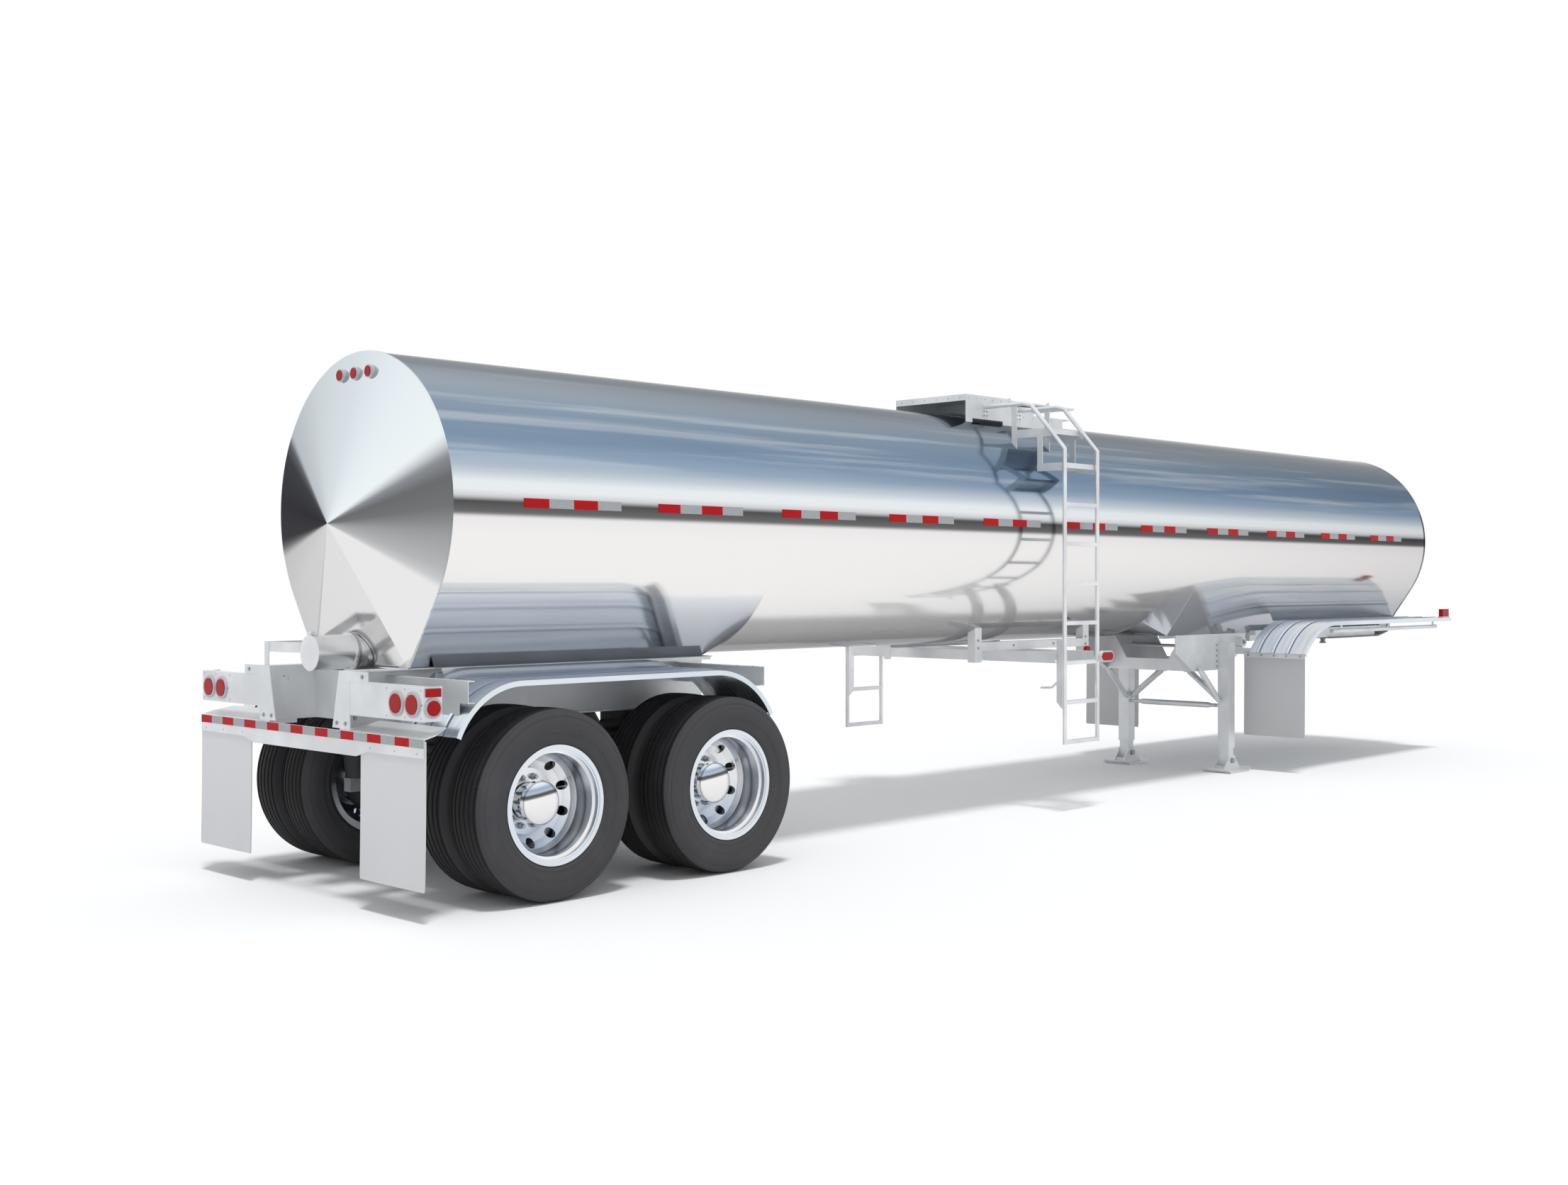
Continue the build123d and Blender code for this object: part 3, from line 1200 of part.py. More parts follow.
beam_section = (
    (BELLY_HANGER_OUTER_Y, BELLY_BEAM_BOTTOM_Z),
    (BELLY_HANGER_INNER_Y, BELLY_BEAM_BOTTOM_Z),
    (BELLY_HANGER_INNER_Y, BELLY_BEAM_BOTTOM_Z + BELLY_BEAM_PLATE),
    (BELLY_HANGER_OUTER_Y - BELLY_BEAM_PLATE, BELLY_BEAM_BOTTOM_Z + BELLY_BEAM_PLATE),
    (BELLY_HANGER_OUTER_Y - BELLY_BEAM_PLATE, BELLY_BEAM_TOP_Z - BELLY_BEAM_PLATE),
    (BELLY_HANGER_INNER_Y, BELLY_BEAM_TOP_Z - BELLY_BEAM_PLATE),
    (BELLY_HANGER_INNER_Y, BELLY_BEAM_TOP_Z),
    (BELLY_HANGER_OUTER_Y, BELLY_BEAM_TOP_Z),
)
beam = cross_plate(beam_section, rear_hanger_xs[1] + SEAT_GAP, front_hanger_xs[0] - SEAT_GAP)
save("belly_frame", *laterals, hangers, both_sides(beam))

# Top box
box_ys = (-BOX_HALF_WIDTH, BOX_HALF_WIDTH)
box_inner_ys = (-BOX_HALF_WIDTH + BOX_SHEET, BOX_HALF_WIDTH - BOX_SHEET)
housing = cut(
    block((BOX_REAR_X, BOX_JOIN_X), box_ys, (BOX_BASE_Z, BOX_TOP_Z)),
    block((BOX_REAR_X, BOX_JOIN_X - BOX_SHEET), box_inner_ys, (BOX_BASE_Z, BOX_TOP_Z - BOX_SHEET)),
    block((BOX_SLOT_REAR_X, BOX_SLOT_FRONT_X), box_ys, (BOX_BASE_Z, BOX_SLOT_TOP_Z)),
)
header_zs = (BOX_TOP_Z - BOX_HEADER, BOX_TOP_Z - BOX_SHEET)
header = block((BOX_REAR_X, BOX_REAR_X + BOX_SHEET), box_inner_ys, header_zs)
save("top_housing", cut(fuse(housing, header), round_skin))

body_xs = (BOX_JOIN_X + SEAT_GAP, BOX_FRONT_X)
hinge_y = BOX_HALF_WIDTH + COVER_HINGE_SETBACK
hinge_z = COVER_BOTTOM_Z + COVER_SHEET / 2
lug_outline = (
    (BOX_HALF_WIDTH - BOX_SHEET, COVER_LUG_FOOT_Z),
    (hinge_y + COVER_HINGE_RADIUS, COVER_LUG_FOOT_Z + COVER_HINGE_RADIUS),
    (hinge_y + COVER_HINGE_RADIUS, hinge_z + COVER_HINGE_RADIUS),
    (hinge_y - COVER_HINGE_RADIUS, hinge_z + COVER_HINGE_RADIUS),
    (hinge_y - COVER_HINGE_RADIUS, BOX_BODY_TOP_Z),
    (BOX_HALF_WIDTH - BOX_SHEET, BOX_BODY_TOP_Z),
)
cover_lugs = []
cover_pins = []
knuckles = []
knuckle_bores = []
for x in COVER_HINGE_XS:
    lug_in = COVER_KNUCKLE_HALF + SEAT_GAP
    lug_out = lug_in + COVER_LUG_WIDTH
    cover_lugs.append(cross_plate(lug_outline, x - lug_out, x - lug_in))
    cover_lugs.append(cross_plate(lug_outline, x + lug_in, x + lug_out))
    cover_pins.append(disc(x - lug_out, x + lug_out, hinge_y, hinge_z, COVER_PIN_RADIUS))
    knuckle_xs = (x - COVER_KNUCKLE_HALF, x + COVER_KNUCKLE_HALF)
    knuckles.append(disc(*knuckle_xs, hinge_y, hinge_z, COVER_HINGE_RADIUS))
    knuckles.append(
        block(
            knuckle_xs,
            (BOX_HALF_WIDTH - COVER_HINGE_SETBACK, hinge_y),
            (hinge_z - COVER_HINGE_RADIUS / 2, hinge_z + COVER_HINGE_RADIUS / 2),
        )
    )
    knuckle_bores.append(disc(*knuckle_xs, hinge_y, hinge_z, COVER_PIN_RADIUS + COVER_PIN_CLEARANCE))
body_shell = cut(
    block(body_xs, box_ys, (BOX_BASE_Z, BOX_BODY_TOP_Z)),
    block(
        (body_xs[0] + BOX_SHEET, body_xs[1] - BOX_SHEET),
        box_inner_ys,
        (BOX_BASE_Z, BOX_BODY_TOP_Z - BOX_LIP_SHEET),
    ),
)
lip_zs = (BOX_BODY_TOP_Z - BOX_LIP_SHEET, BOX_BODY_TOP_Z)
body_lip = block((BOX_FRONT_X, BOX_FRONT_X + BOX_LIP), box_ys, lip_zs)
neck_hole = upright(MANHOLE_X, 0, BOX_BASE_Z, BOX_BODY_TOP_Z, MANHOLE_RADIUS + SEAT_GAP)
body = fuse(cut(fuse(body_shell, body_lip), neck_hole, round_skin), *cover_lugs, *cover_pins)
save("manhole_body", body)
neck_top_z = COVER_BOTTOM_Z - SEAT_GAP
neck = cut(
    upright(MANHOLE_X, 0, BOX_BASE_Z, neck_top_z, MANHOLE_RADIUS),
    upright(MANHOLE_X, 0, BOX_BASE_Z, neck_top_z, MANHOLE_RADIUS - MANHOLE_WALL),
    round_skin,
)
save("manhole_neck", neck)
cover_top_z = COVER_BOTTOM_Z + COVER_SHEET
knobs = [upright(x, -KNOB_Y, cover_top_z, cover_top_z + KNOB_HEIGHT, KNOB_RADIUS) for x in KNOB_XS]
cover = fuse(block((COVER_REAR_X, COVER_FRONT_X), box_ys, (COVER_BOTTOM_Z, cover_top_z)), *knobs, *knuckles)
save("box_cover", cut(cover, *knuckle_bores))

dome_face = Face(
    Wire(
        [
            Edge.make_line((DOME_X, 0, BOX_BASE_Z), (DOME_X + DOME_RADIUS, 0, BOX_BASE_Z)),
            Edge.make_line((DOME_X + DOME_RADIUS, 0, BOX_BASE_Z), (DOME_X + DOME_RADIUS, 0, DOME_WALL_TOP_Z)),
            Edge.make_tangent_arc(
                (DOME_X, 0, DOME_TOP_Z), Vector(1, 0, 0), (DOME_X + DOME_RADIUS, 0, DOME_WALL_TOP_Z)
            ),
            Edge.make_line((DOME_X, 0, DOME_TOP_Z), (DOME_X, 0, BOX_BASE_Z)),
        ]
    )
)
dome = Solid.revolve(dome_face, 360, Axis((DOME_X, 0, 0), (0, 0, 1)))
save("vent_dome", cut(dome, round_skin))

# Landing gear
gear_outer_y = LEG_INNER_Y
gear_inner_y = LEG_INNER_Y - GEAR_PLATE
gear_outline = (
    (GEAR_PLATE_REAR_X, RAIL_TOP_Z),
    (GEAR_PLATE_REAR_X, GEAR_PLATE_REAR_Z),
    (GEAR_PLATE_LOW_X, GEAR_PLATE_BOTTOM_Z),
    (LEG_REAR_X + LEG_LENGTH_X, GEAR_PLATE_BOTTOM_Z),
    (GEAR_PLATE_FRONT_LOW_X, GEAR_PLATE_FRONT_Z),
    (GEAR_PLATE_FRONT_TOP_X, RAIL_TOP_Z),
)
leg_mid_x = LEG_REAR_X + LEG_LENGTH_X / 2
shaft_hole = side_disc(leg_mid_x, gear_inner_y, gear_outer_y, CROSS_SHAFT_Z, CROSS_SHAFT_RADIUS + SEAT_GAP)
folded_edge = side_plate(
    (
        (GEAR_PLATE_REAR_X, GEAR_PLATE_REAR_Z + GEAR_PLATE),
        (GEAR_PLATE_REAR_X, GEAR_PLATE_REAR_Z),
        (GEAR_PLATE_LOW_X, GEAR_PLATE_BOTTOM_Z),
        (GEAR_PLATE_LOW_X, GEAR_PLATE_BOTTOM_Z + GEAR_PLATE),
    ),
    gear_inner_y - GEAR_EDGE_WIDTH,
    gear_outer_y,
)
gear_side = fuse(cut(side_plate(gear_outline, gear_inner_y, gear_outer_y), shaft_hole), folded_edge)
crank_boss = side_disc(CRANK_X, gear_outer_y, gear_outer_y + CRANK_BOSS_DEPTH, CRANK_Z, CRANK_BOSS_RADIUS)
bulkheads = []
for face_x, way, top_half, sill_half in BULKHEAD_ROWS:
    sill = block(
        (face_x, face_x + way * BULKHEAD_FLANGE),
        (-gear_inner_y, gear_inner_y),
        (GEAR_PLATE_BOTTOM_Z, GEAR_PLATE_BOTTOM_Z + BULKHEAD_PLATE),
    )
    outline = (
        (-gear_inner_y, GEAR_PLATE_BOTTOM_Z),
        (gear_inner_y, GEAR_PLATE_BOTTOM_Z),
        (gear_inner_y, RAIL_TOP_Z),
        (top_half, RAIL_TOP_Z),
        (sill_half, BULKHEAD_SILL_TOP_Z),
        (-sill_half, BULKHEAD_SILL_TOP_Z),
        (-top_half, RAIL_TOP_Z),
        (-gear_inner_y, RAIL_TOP_Z),
    )
    bulkheads.extend([cross_plate(outline, face_x, face_x + BULKHEAD_PLATE), sill])
save("gear_frame", fuse(gear_side, other_side(gear_side), *bulkheads, other_side(crank_boss)))

leg_ys = (LEG_INNER_Y + SEAT_GAP, LEG_INNER_Y + LEG_WIDTH_Y)
leg_xs = (LEG_REAR_X, LEG_REAR_X + LEG_LENGTH_X)
leg_mid_y = LEG_INNER_Y + LEG_WIDTH_Y / 2
inner_half = LEG_WIDTH_Y / 2 - LEG_INNER_MARGIN
inner_leg = block(
    (leg_xs[0] + LEG_INNER_MARGIN, leg_xs[1] - LEG_INNER_MARGIN),
    (leg_mid_y - inner_half, leg_mid_y + inner_half),
    (LEG_INNER_BOTTOM_Z, LEG_COLLAR_Z),
)
foot_ys = (leg_mid_y - FOOT_WIDTH_Y / 2, leg_mid_y + FOOT_WIDTH_Y / 2)
lug_ys = (inner_half + SEAT_GAP, inner_half + SEAT_GAP + FOOT_LUG)
pivot_socket = side_disc(leg_mid_x, *foot_ys, FOOT_PIVOT_Z, FOOT_PIVOT_RADIUS + SEAT_GAP)
leg = fuse(block(leg_xs, leg_ys, (LEG_COLLAR_Z, LEG_TOP_Z)), cut(inner_leg, pivot_socket))
save("landing_legs", both_sides(leg))

half_foot = FOOT_LENGTH_X / 2
foot_outline = (
    (leg_mid_x - half_foot, FOOT_TOE_RUN),
    (leg_mid_x - half_foot + FOOT_TOE_RUN, 0),
    (leg_mid_x + half_foot - FOOT_TOE_RUN, 0),
    (leg_mid_x + half_foot, FOOT_TOE_RUN),
    (leg_mid_x + half_foot, FOOT_TOE_RUN + FOOT_SHEET),
    (leg_mid_x + half_foot - FOOT_TOE_RUN, FOOT_SHEET),
    (leg_mid_x - half_foot + FOOT_TOE_RUN, FOOT_SHEET),
    (leg_mid_x - half_foot, FOOT_TOE_RUN + FOOT_SHEET),
)
foot_lugs = [
    block(
        (leg_mid_x - FOOT_LUG_HALF_X, leg_mid_x + FOOT_LUG_HALF_X),
        (leg_mid_y + way * lug_ys[0], leg_mid_y + way * lug_ys[1]),
        (FOOT_SHEET / 2, FOOT_LUG_TOP_Z),
    )
    for way in (-1, 1)
]
pivot = side_disc(leg_mid_x, leg_mid_y - lug_ys[1], leg_mid_y + lug_ys[1], FOOT_PIVOT_Z, FOOT_PIVOT_RADIUS)
save("leg_feet", both_sides(fuse(side_plate(foot_outline, *foot_ys), *foot_lugs, pivot)))

shaft = side_disc(leg_mid_x, -LEG_INNER_Y, LEG_INNER_Y, CROSS_SHAFT_Z, CROSS_SHAFT_RADIUS)
leg_zone = block(
    (LEG_REAR_X - SEAT_GAP, LEG_REAR_X + LEG_LENGTH_X),
    (LEG_INNER_Y, LEG_INNER_Y + LEG_WIDTH_Y),
    (LEG_COLLAR_Z, LEG_TOP_Z),
)
brace_gusset = block(
    (leg_mid_x - BRACE_GUSSET / 2, leg_mid_x + BRACE_GUSSET / 2),
    BRACE_GUSSET_YS,
    (BRACE_GUSSET_BOTTOM_Z, GEAR_PLATE_BOTTOM_Z - SEAT_GAP),
)
sill_zone = block(
    (leg_xs[0], leg_xs[1]), (0, LEG_INNER_Y), (GEAR_PLATE_BOTTOM_Z - SEAT_GAP, BULKHEAD_SILL_TOP_Z)
)
brace_rod = rod((leg_mid_x, *BRACE_TOP), (leg_mid_x, *BRACE_LOW), BRACE_RADIUS)
cross_brace = fuse(cut(brace_rod, leg_zone, sill_zone), brace_gusset)
fore_brace_y = gear_outer_y + SEAT_GAP + BRACE_RADIUS
fore_brace = cut(
    rod(
        (FORE_BRACE_TOP[0], fore_brace_y, FORE_BRACE_TOP[1]),
        (FORE_BRACE_LOW[0], fore_brace_y, FORE_BRACE_LOW[1]),
        BRACE_RADIUS,
    ),
    leg_zone,
)
cross_tube = side_disc(leg_mid_x, -LEG_INNER_Y, LEG_INNER_Y, CROSS_TUBE_Z, CROSS_TUBE_RADIUS)
save("leg_braces", both_sides(cross_brace), both_sides(fore_brace), cross_tube, shaft)

# Front flaps with their hanger bars and strips
strip_x = HANGER_BAR_X - FLAP_THICKNESS - FLAP_STRIP - 2 * SEAT_GAP
flap_x = HANGER_BAR_X - FLAP_THICKNESS - SEAT_GAP
front_flap_ys = (FRONT_FLAP_INNER_Y, FRONT_FLAP_OUTER_Y)
above_sheet = fender_band(
    NOSE_FENDER_LINE,
    NOSE_SHEET_RISE - FENDER_SHEET - SEAT_GAP,
    NOSE_SHEET_RISE + BRACKET_FLANGE,
    gear_outer_y,
    FRONT_FLAP_OUTER_Y,
)
hanger_bar = cut(
    block(
        (HANGER_BAR_X, HANGER_BAR_X + HANGER_BAR_DEPTH),
        (gear_outer_y + SEAT_GAP, FRONT_FLAP_OUTER_Y),
        (HANGER_BAR_BOTTOM_Z, HANGER_BAR_TOP_Z),
    ),
    above_sheet,
)
strip = block((strip_x, strip_x + FLAP_STRIP), front_flap_ys, (FLAP_STRIP_BOTTOM_Z, FLAP_STRIP_TOP_Z))
save("flap_hangers", both_sides(hanger_bar), both_sides(strip))
front_flap = block((flap_x, flap_x + FLAP_THICKNESS), front_flap_ys, (FRONT_FLAP_BOTTOM_Z, FRONT_FLAP_TOP_Z))
save("front_flaps", both_sides(front_flap))

# Nose tubes under the front fenders
tube = Solid.make_cylinder(
    NOSE_TUBE_RADIUS,
    NOSE_TUBE_FRONT_X - NOSE_TUBE_REAR_X,
    Plane(origin=(NOSE_TUBE_REAR_X, NOSE_TUBE_Y, NOSE_TUBE_Z), z_dir=(1, 0, 0)),
)
straps = [
    block(
        (x, x + NOSE_STRAP_LENGTH),
        (NOSE_TUBE_Y - NOSE_STRAP / 2, NOSE_TUBE_Y + NOSE_STRAP / 2),
        (NOSE_TUBE_Z, nose_sheet_z - FENDER_SHEET - SEAT_GAP),
    )
    for x in NOSE_STRAP_XS
]
save("nose_tubes", both_sides(fuse(tube, *straps)))

# Coupler, nose rails and kingpin
coupler_top_z = COUPLER_BOTTOM_Z + COUPLER_PLATE
coupler_outline = (
    (COUPLER_REAR_X, COUPLER_BOTTOM_Z),
    (COUPLER_NOSE_X, COUPLER_BOTTOM_Z),
    (COUPLER_FRONT_X, COUPLER_BOTTOM_Z + COUPLER_NOSE_RISE),
    (COUPLER_FRONT_X, coupler_top_z + COUPLER_NOSE_RISE),
    (COUPLER_NOSE_X, coupler_top_z),
    (COUPLER_REAR_X, coupler_top_z),
)
kingpin_hole = upright(KINGPIN_X, 0, COUPLER_BOTTOM_Z, coupler_top_z, KINGPIN_HEAD_RADIUS + SEAT_GAP)
coupler = cut(side_plate(coupler_outline, -COUPLER_HALF_WIDTH, COUPLER_HALF_WIDTH), kingpin_hole)
save("upper_coupler", coupler)
nose_rail_low_z = coupler_top_z + SEAT_GAP
nose_rail_section = (
    (NOSE_RAIL_INNER_Y, nose_rail_low_z),
    (NOSE_RAIL_WEB_Y, nose_rail_low_z),
    (NOSE_RAIL_WEB_Y, NOSE_RAIL_LEDGE_Z),
    (NOSE_RAIL_OUTER_Y, NOSE_RAIL_LEDGE_Z),
    (NOSE_RAIL_OUTER_Y, NOSE_RAIL_TOP_Z),
    (NOSE_RAIL_INNER_Y, NOSE_RAIL_TOP_Z),
)
nose_rail = cut(cross_plate(nose_rail_section, NOSE_RAIL_REAR_X, COUPLER_NOSE_X), front_skin)
cross_members = [
    block((x, x + NOSE_MEMBER), (-NOSE_RAIL_INNER_Y, NOSE_RAIL_INNER_Y), (nose_rail_low_z, RAIL_TOP_Z))
    for x in NOSE_MEMBER_XS
]
save("nose_rails", fuse(nose_rail, other_side(nose_rail), *cross_members))
kingpin_bottom_z = COUPLER_BOTTOM_Z - KINGPIN_LENGTH
pin_rows = (
    (0, 0),
    (KINGPIN_HEAD_RADIUS, 0),
    (KINGPIN_HEAD_RADIUS, KINGPIN_NECK_BOTTOM),
    (KINGPIN_NECK_RADIUS, KINGPIN_NECK_BOTTOM),
    (KINGPIN_NECK_RADIUS, KINGPIN_NECK_TOP),
    (KINGPIN_HEAD_RADIUS, KINGPIN_NECK_TOP),
    (KINGPIN_HEAD_RADIUS, KINGPIN_LENGTH + COUPLER_PLATE),
    (0, KINGPIN_LENGTH + COUPLER_PLATE),
)
pin_points = [Vector(KINGPIN_X + r, 0, kingpin_bottom_z + rise) for r, rise in pin_rows]
kingpin = Solid.revolve(Face(Wire.make_polygon(pin_points)), 360, Axis((KINGPIN_X, 0, 0), (0, 0, 1)))
save("kingpin", kingpin)
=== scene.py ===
"""Looks of a tank semi-trailer: polished jacket, tyres, wheels, lamps, fasteners and the stage."""

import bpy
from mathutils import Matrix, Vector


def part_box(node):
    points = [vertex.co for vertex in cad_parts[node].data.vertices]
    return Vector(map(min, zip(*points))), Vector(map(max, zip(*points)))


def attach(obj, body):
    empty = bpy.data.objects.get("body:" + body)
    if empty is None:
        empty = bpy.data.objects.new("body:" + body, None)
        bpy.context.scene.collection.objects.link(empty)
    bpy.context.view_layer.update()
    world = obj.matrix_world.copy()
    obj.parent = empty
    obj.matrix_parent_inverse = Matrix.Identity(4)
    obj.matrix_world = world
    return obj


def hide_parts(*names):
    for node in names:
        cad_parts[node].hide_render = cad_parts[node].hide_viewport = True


bl_info = {
    "name": "Tank semi-trailer looks",
    "version": (1, 0, 0),
    "blender": (4, 5, 0),
    "location": "3D View > Sidebar > Trailer",
    "description": "Dresses a packed tank semi-trailer and its stage",
    "category": "Object",
}

from math import cos, pi, radians, sin, sqrt

import bmesh
import bpy
from mathutils import Matrix, Vector

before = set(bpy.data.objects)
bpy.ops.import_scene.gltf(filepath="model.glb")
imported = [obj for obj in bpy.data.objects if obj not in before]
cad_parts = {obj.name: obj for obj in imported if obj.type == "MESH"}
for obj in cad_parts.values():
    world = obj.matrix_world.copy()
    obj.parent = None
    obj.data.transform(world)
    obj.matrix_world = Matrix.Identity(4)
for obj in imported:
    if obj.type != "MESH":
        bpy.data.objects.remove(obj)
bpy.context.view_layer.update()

TRAILER = "trailer"
SIDES = (("left", 1), ("right", -1))
WHEELSETS = [(row, side, way) for row in ("rear", "front") for side, way in SIDES]
FORWARD, LEFT, REARWARD, UP, DOWN = (1, 0, 0), (0, 1, 0), (-1, 0, 0), (0, 0, 1), (0, 0, -1)


def middle(node):
    """The middle of a node's box."""
    low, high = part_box(node)
    return (low + high) / 2


# Places taken from the frame, in metres
REAR_AXLE = middle("tyres_rear_left")
AXLES = {"rear": REAR_AXLE.x, "front": middle("tyres_front_left").x}
AXLE_Z = REAR_AXLE.z
DUAL_Y = REAR_AXLE.y
TYRE_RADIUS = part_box("tyres_rear_left")[1].z - AXLE_Z
TANK_RADIUS = (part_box("jacket_middle")[1].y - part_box("jacket_middle")[0].y) / 2
TANK_Z = middle("jacket_middle").z

# Places that the frame doesn't name: each tyre from the middle of its pair, the point of the heads and the
# ribs of the fenders
TYRE_SHIFT = 0.17
HEAD_APEX_Z = 2.112
RIB_YS = (0.730, 0.880, 1.030)


def at(x):
    """Place along the trailer of a point x metres ahead of the rear axle."""
    return REAR_AXLE.x + x


def both_sides(rows):
    """Places and ways of the left side, followed by their mirror images on the right."""
    return [((x, way * y, z), (a, way * b, c)) for _, way in SIDES for (x, y, z), (a, b, c) in rows]


def tone(red, green, blue):
    """Linear colour of a shade given in the usual 0 to 255 steps."""
    steps = [value / 255 for value in (red, green, blue)]
    linear = [v / 12.92 if v <= 0.04045 else ((v + 0.055) / 1.055) ** 2.4 for v in steps]
    return (*linear, 1.0)


def altered(colour, share, lift=0.0):
    """A linear colour made darker or paler."""
    return (*(min(1.0, value * share + lift) for value in colour[:3]), 1.0)


def stops(rows, turn=None):
    """Ramp stops from rows of a place, red, green and blue; with a turn, the places are degrees."""
    return [(place / turn + 0.5 if turn else place, tone(*shade)) for place, *shade in rows]


# Node trees


class Graph:
    """A node tree written through one method."""

    def __init__(self, tree):
        self.tree = tree

    def add(self, kind, values=None, **settings):
        """A node of a type, with its settings made first and then the values or links of its sockets."""
        node = self.tree.nodes.new(kind)
        for key, value in settings.items():
            if key == "stops":
                ramp = node.color_ramp
                ramp.elements[0].position, ramp.elements[0].color = value[0]
                ramp.elements[1].position, ramp.elements[1].color = value[-1]
                for place, colour in value[1:-1]:
                    ramp.elements.new(place).color = colour
            else:
                setattr(node, key, value)
        for key, value in (values or {}).items():
            for part in value if isinstance(value, list) else [value]:
                part = getattr(part, "socket", part)
                if isinstance(part, bpy.types.NodeSocket):
                    self.tree.links.new(part, node.inputs[key])
                else:
                    node.inputs[key].default_value = part
        return node

    def out(self, kind, values=None, **settings):
        """The first output of a new node."""
        return self.add(kind, values, **settings).outputs[0]

    def seen(self):
        """1 for what the camera sees, straight, mirrored or through glass."""
        rays = self.add("ShaderNodeLightPath").outputs
        pair = {0: rays["Is Camera Ray"], 1: rays["Is Glossy Ray"]}
        pair = {0: self.out("ShaderNodeMath", pair, operation="MAXIMUM"), 1: rays["Is Transmission Ray"]}
        return self.out("ShaderNodeMath", pair, operation="MAXIMUM")


class Num:
    """A number socket of a shader that Python's operators turn into Math nodes."""

    def __init__(self, paint, socket):
        self.paint = paint
        self.socket = socket

    def __add__(self, other):
        return self.paint.math("ADD", self, other)

    def __sub__(self, other):
        return self.paint.math("SUBTRACT", self, other)

    def __rsub__(self, other):
        return self.paint.math("SUBTRACT", other, self)

    def __mul__(self, other):
        return self.paint.math("MULTIPLY", self, other)

    def __truediv__(self, other):
        return self.paint.math("DIVIDE", self, other)

    def __abs__(self):
        return self.paint.math("ABSOLUTE", self)

    __radd__ = __add__
    __rmul__ = __mul__


class Paint(Graph):
    """A material built from object coordinates."""

    def __init__(self, name):
        self.material = bpy.data.materials.new(name)
        self.material.use_nodes = True
        super().__init__(self.material.node_tree)
        self.tree.nodes.clear()
        self.point = self.add("ShaderNodeTexCoord").outputs["Object"]

    def math(self, operation, *values):
        return Num(self, self.out("ShaderNodeMath", dict(enumerate(values)), operation=operation))

    def axes(self, centre=(0, 0, 0)):
        """Distances from a centre along x, y and z."""
        moved = self.out("ShaderNodeMapping", {"Vector": self.point, "Location": tuple(-v for v in centre)})
        split = self.add("ShaderNodeSeparateXYZ", {"Vector": moved})
        return [Num(self, socket) for socket in split.outputs]

    def about_axle(self, centre):
        """Distances from a wheel's centre along x, y and z, and from its axis."""
        x, y, z = self.axes(centre)
        return x, y, z, self.math("SQRT", x * x + z * z)

    def texture(self, kind, stretch, values):
        mapped = self.out("ShaderNodeMapping", {"Vector": self.point, "Scale": stretch})
        return Num(self, self.out(kind, {"Vector": mapped, **values}))

    def noise(self, scale, stretch=(1, 1, 1), detail=3.0):
        return self.texture("ShaderNodeTexNoise", stretch, {"Scale": scale, "Detail": detail})

    def cells(self, scale):
        return self.texture("ShaderNodeTexVoronoi", (1, 1, 1), {"Scale": scale})

    def between(self, value, low, high):
        """0 at low, 1 at high, smooth between."""
        limits = {"Value": value, "From Min": low, "From Max": high}
        return Num(self, self.out("ShaderNodeMapRange", limits, interpolation_type="SMOOTHSTEP"))

    def ramp(self, value, shades):
        return self.out("ShaderNodeValToRGB", {"Fac": value}, stops=shades)

    def mix(self, share, first, second):
        return self.add("ShaderNodeMix", {0: share, 6: first, 7: second}, data_type="RGBA").outputs[2]

    def bump(self, height, distance, strength=1.0):
        return self.out("ShaderNodeBump", {"Height": height, "Distance": distance, "Strength": strength})

    def finish(self, **sockets):
        """Ends the material in a Principled surface; a socket's name is written with underscores."""
        values = {key.replace("_", " "): value for key, value in sockets.items()}
        self.add("ShaderNodeOutputMaterial", {"Surface": self.out("ShaderNodeBsdfPrincipled", values)})
        return self.material


# Finishes

# Shades of the jacket by the angle round the tank in degrees, -90 at the belly and 90 at the top, as a
# painted
# reflection of the surroundings: a dark horizon line with a highlight over it and blue-grey sky above on
# the side, and the floor below, with a painted dark band for the reflected fenders, frame and shade under
# the tank on the flanked and shaded bellies. A belly for each jacket and the side that they share. The
# columns are the angle, red, green and blue.
OPEN_BELLY = ((-90, 247, 246, 245), (-34, 243, 241, 239))
FLANKED_BELLY = (
    (-90, 112, 113, 115), (-71, 76, 76, 78), (-67, 128, 130, 134), (-60, 162, 166, 173),
    (-44, 196, 200, 206), (-36, 222, 224, 227), (-33, 243, 241, 239),
)
SHADED_BELLY = (
    (-90, 112, 113, 115), (-71, 92, 92, 94), (-67, 176, 177, 179), (-60, 204, 207, 212),
    (-44, 222, 224, 228), (-33, 243, 241, 239),
)
JACKET_SIDE_REFLECTION = (
    (-10, 239, 236, 234), (-3.9, 232, 229, 228), (-2.6, 108, 108, 109), (1.6, 80, 80, 81),
    (3.2, 205, 207, 210), (5.5, 233, 236, 238), (8.5, 231, 237, 240), (12, 196, 206, 215),
    (17, 150, 170, 190), (25, 126, 148, 171), (33, 132, 151, 171), (42, 146, 163, 179),
    (50, 168, 180, 191), (58, 184, 194, 203), (66, 190, 199, 208), (74, 212, 219, 225),
    (90, 238, 241, 244),
)

# Shades of a head by the full angle about its point, 0 at its left, as a painted reflection: pale above and
# below, dark at the sides
HEAD_REFLECTION_SHADES = (
    (-180, 136, 137, 139), (-175, 156, 156, 157), (-163, 178, 179, 181), (-158, 198, 198, 199),
    (-155, 232, 230, 229), (-58, 232, 230, 229), (-56, 254, 253, 252), (-12, 254, 253, 252),
    (-8, 150, 150, 151), (-5, 92, 92, 94), (10, 82, 82, 84), (28, 96, 97, 99),
    (33, 132, 135, 139), (36, 229, 236, 241), (60, 235, 243, 247), (90, 226, 235, 240),
    (120, 233, 241, 246), (150, 238, 245, 247), (154, 206, 211, 216), (158, 140, 143, 148),
    (165, 106, 108, 110), (175, 114, 116, 118), (180, 136, 137, 139),
)


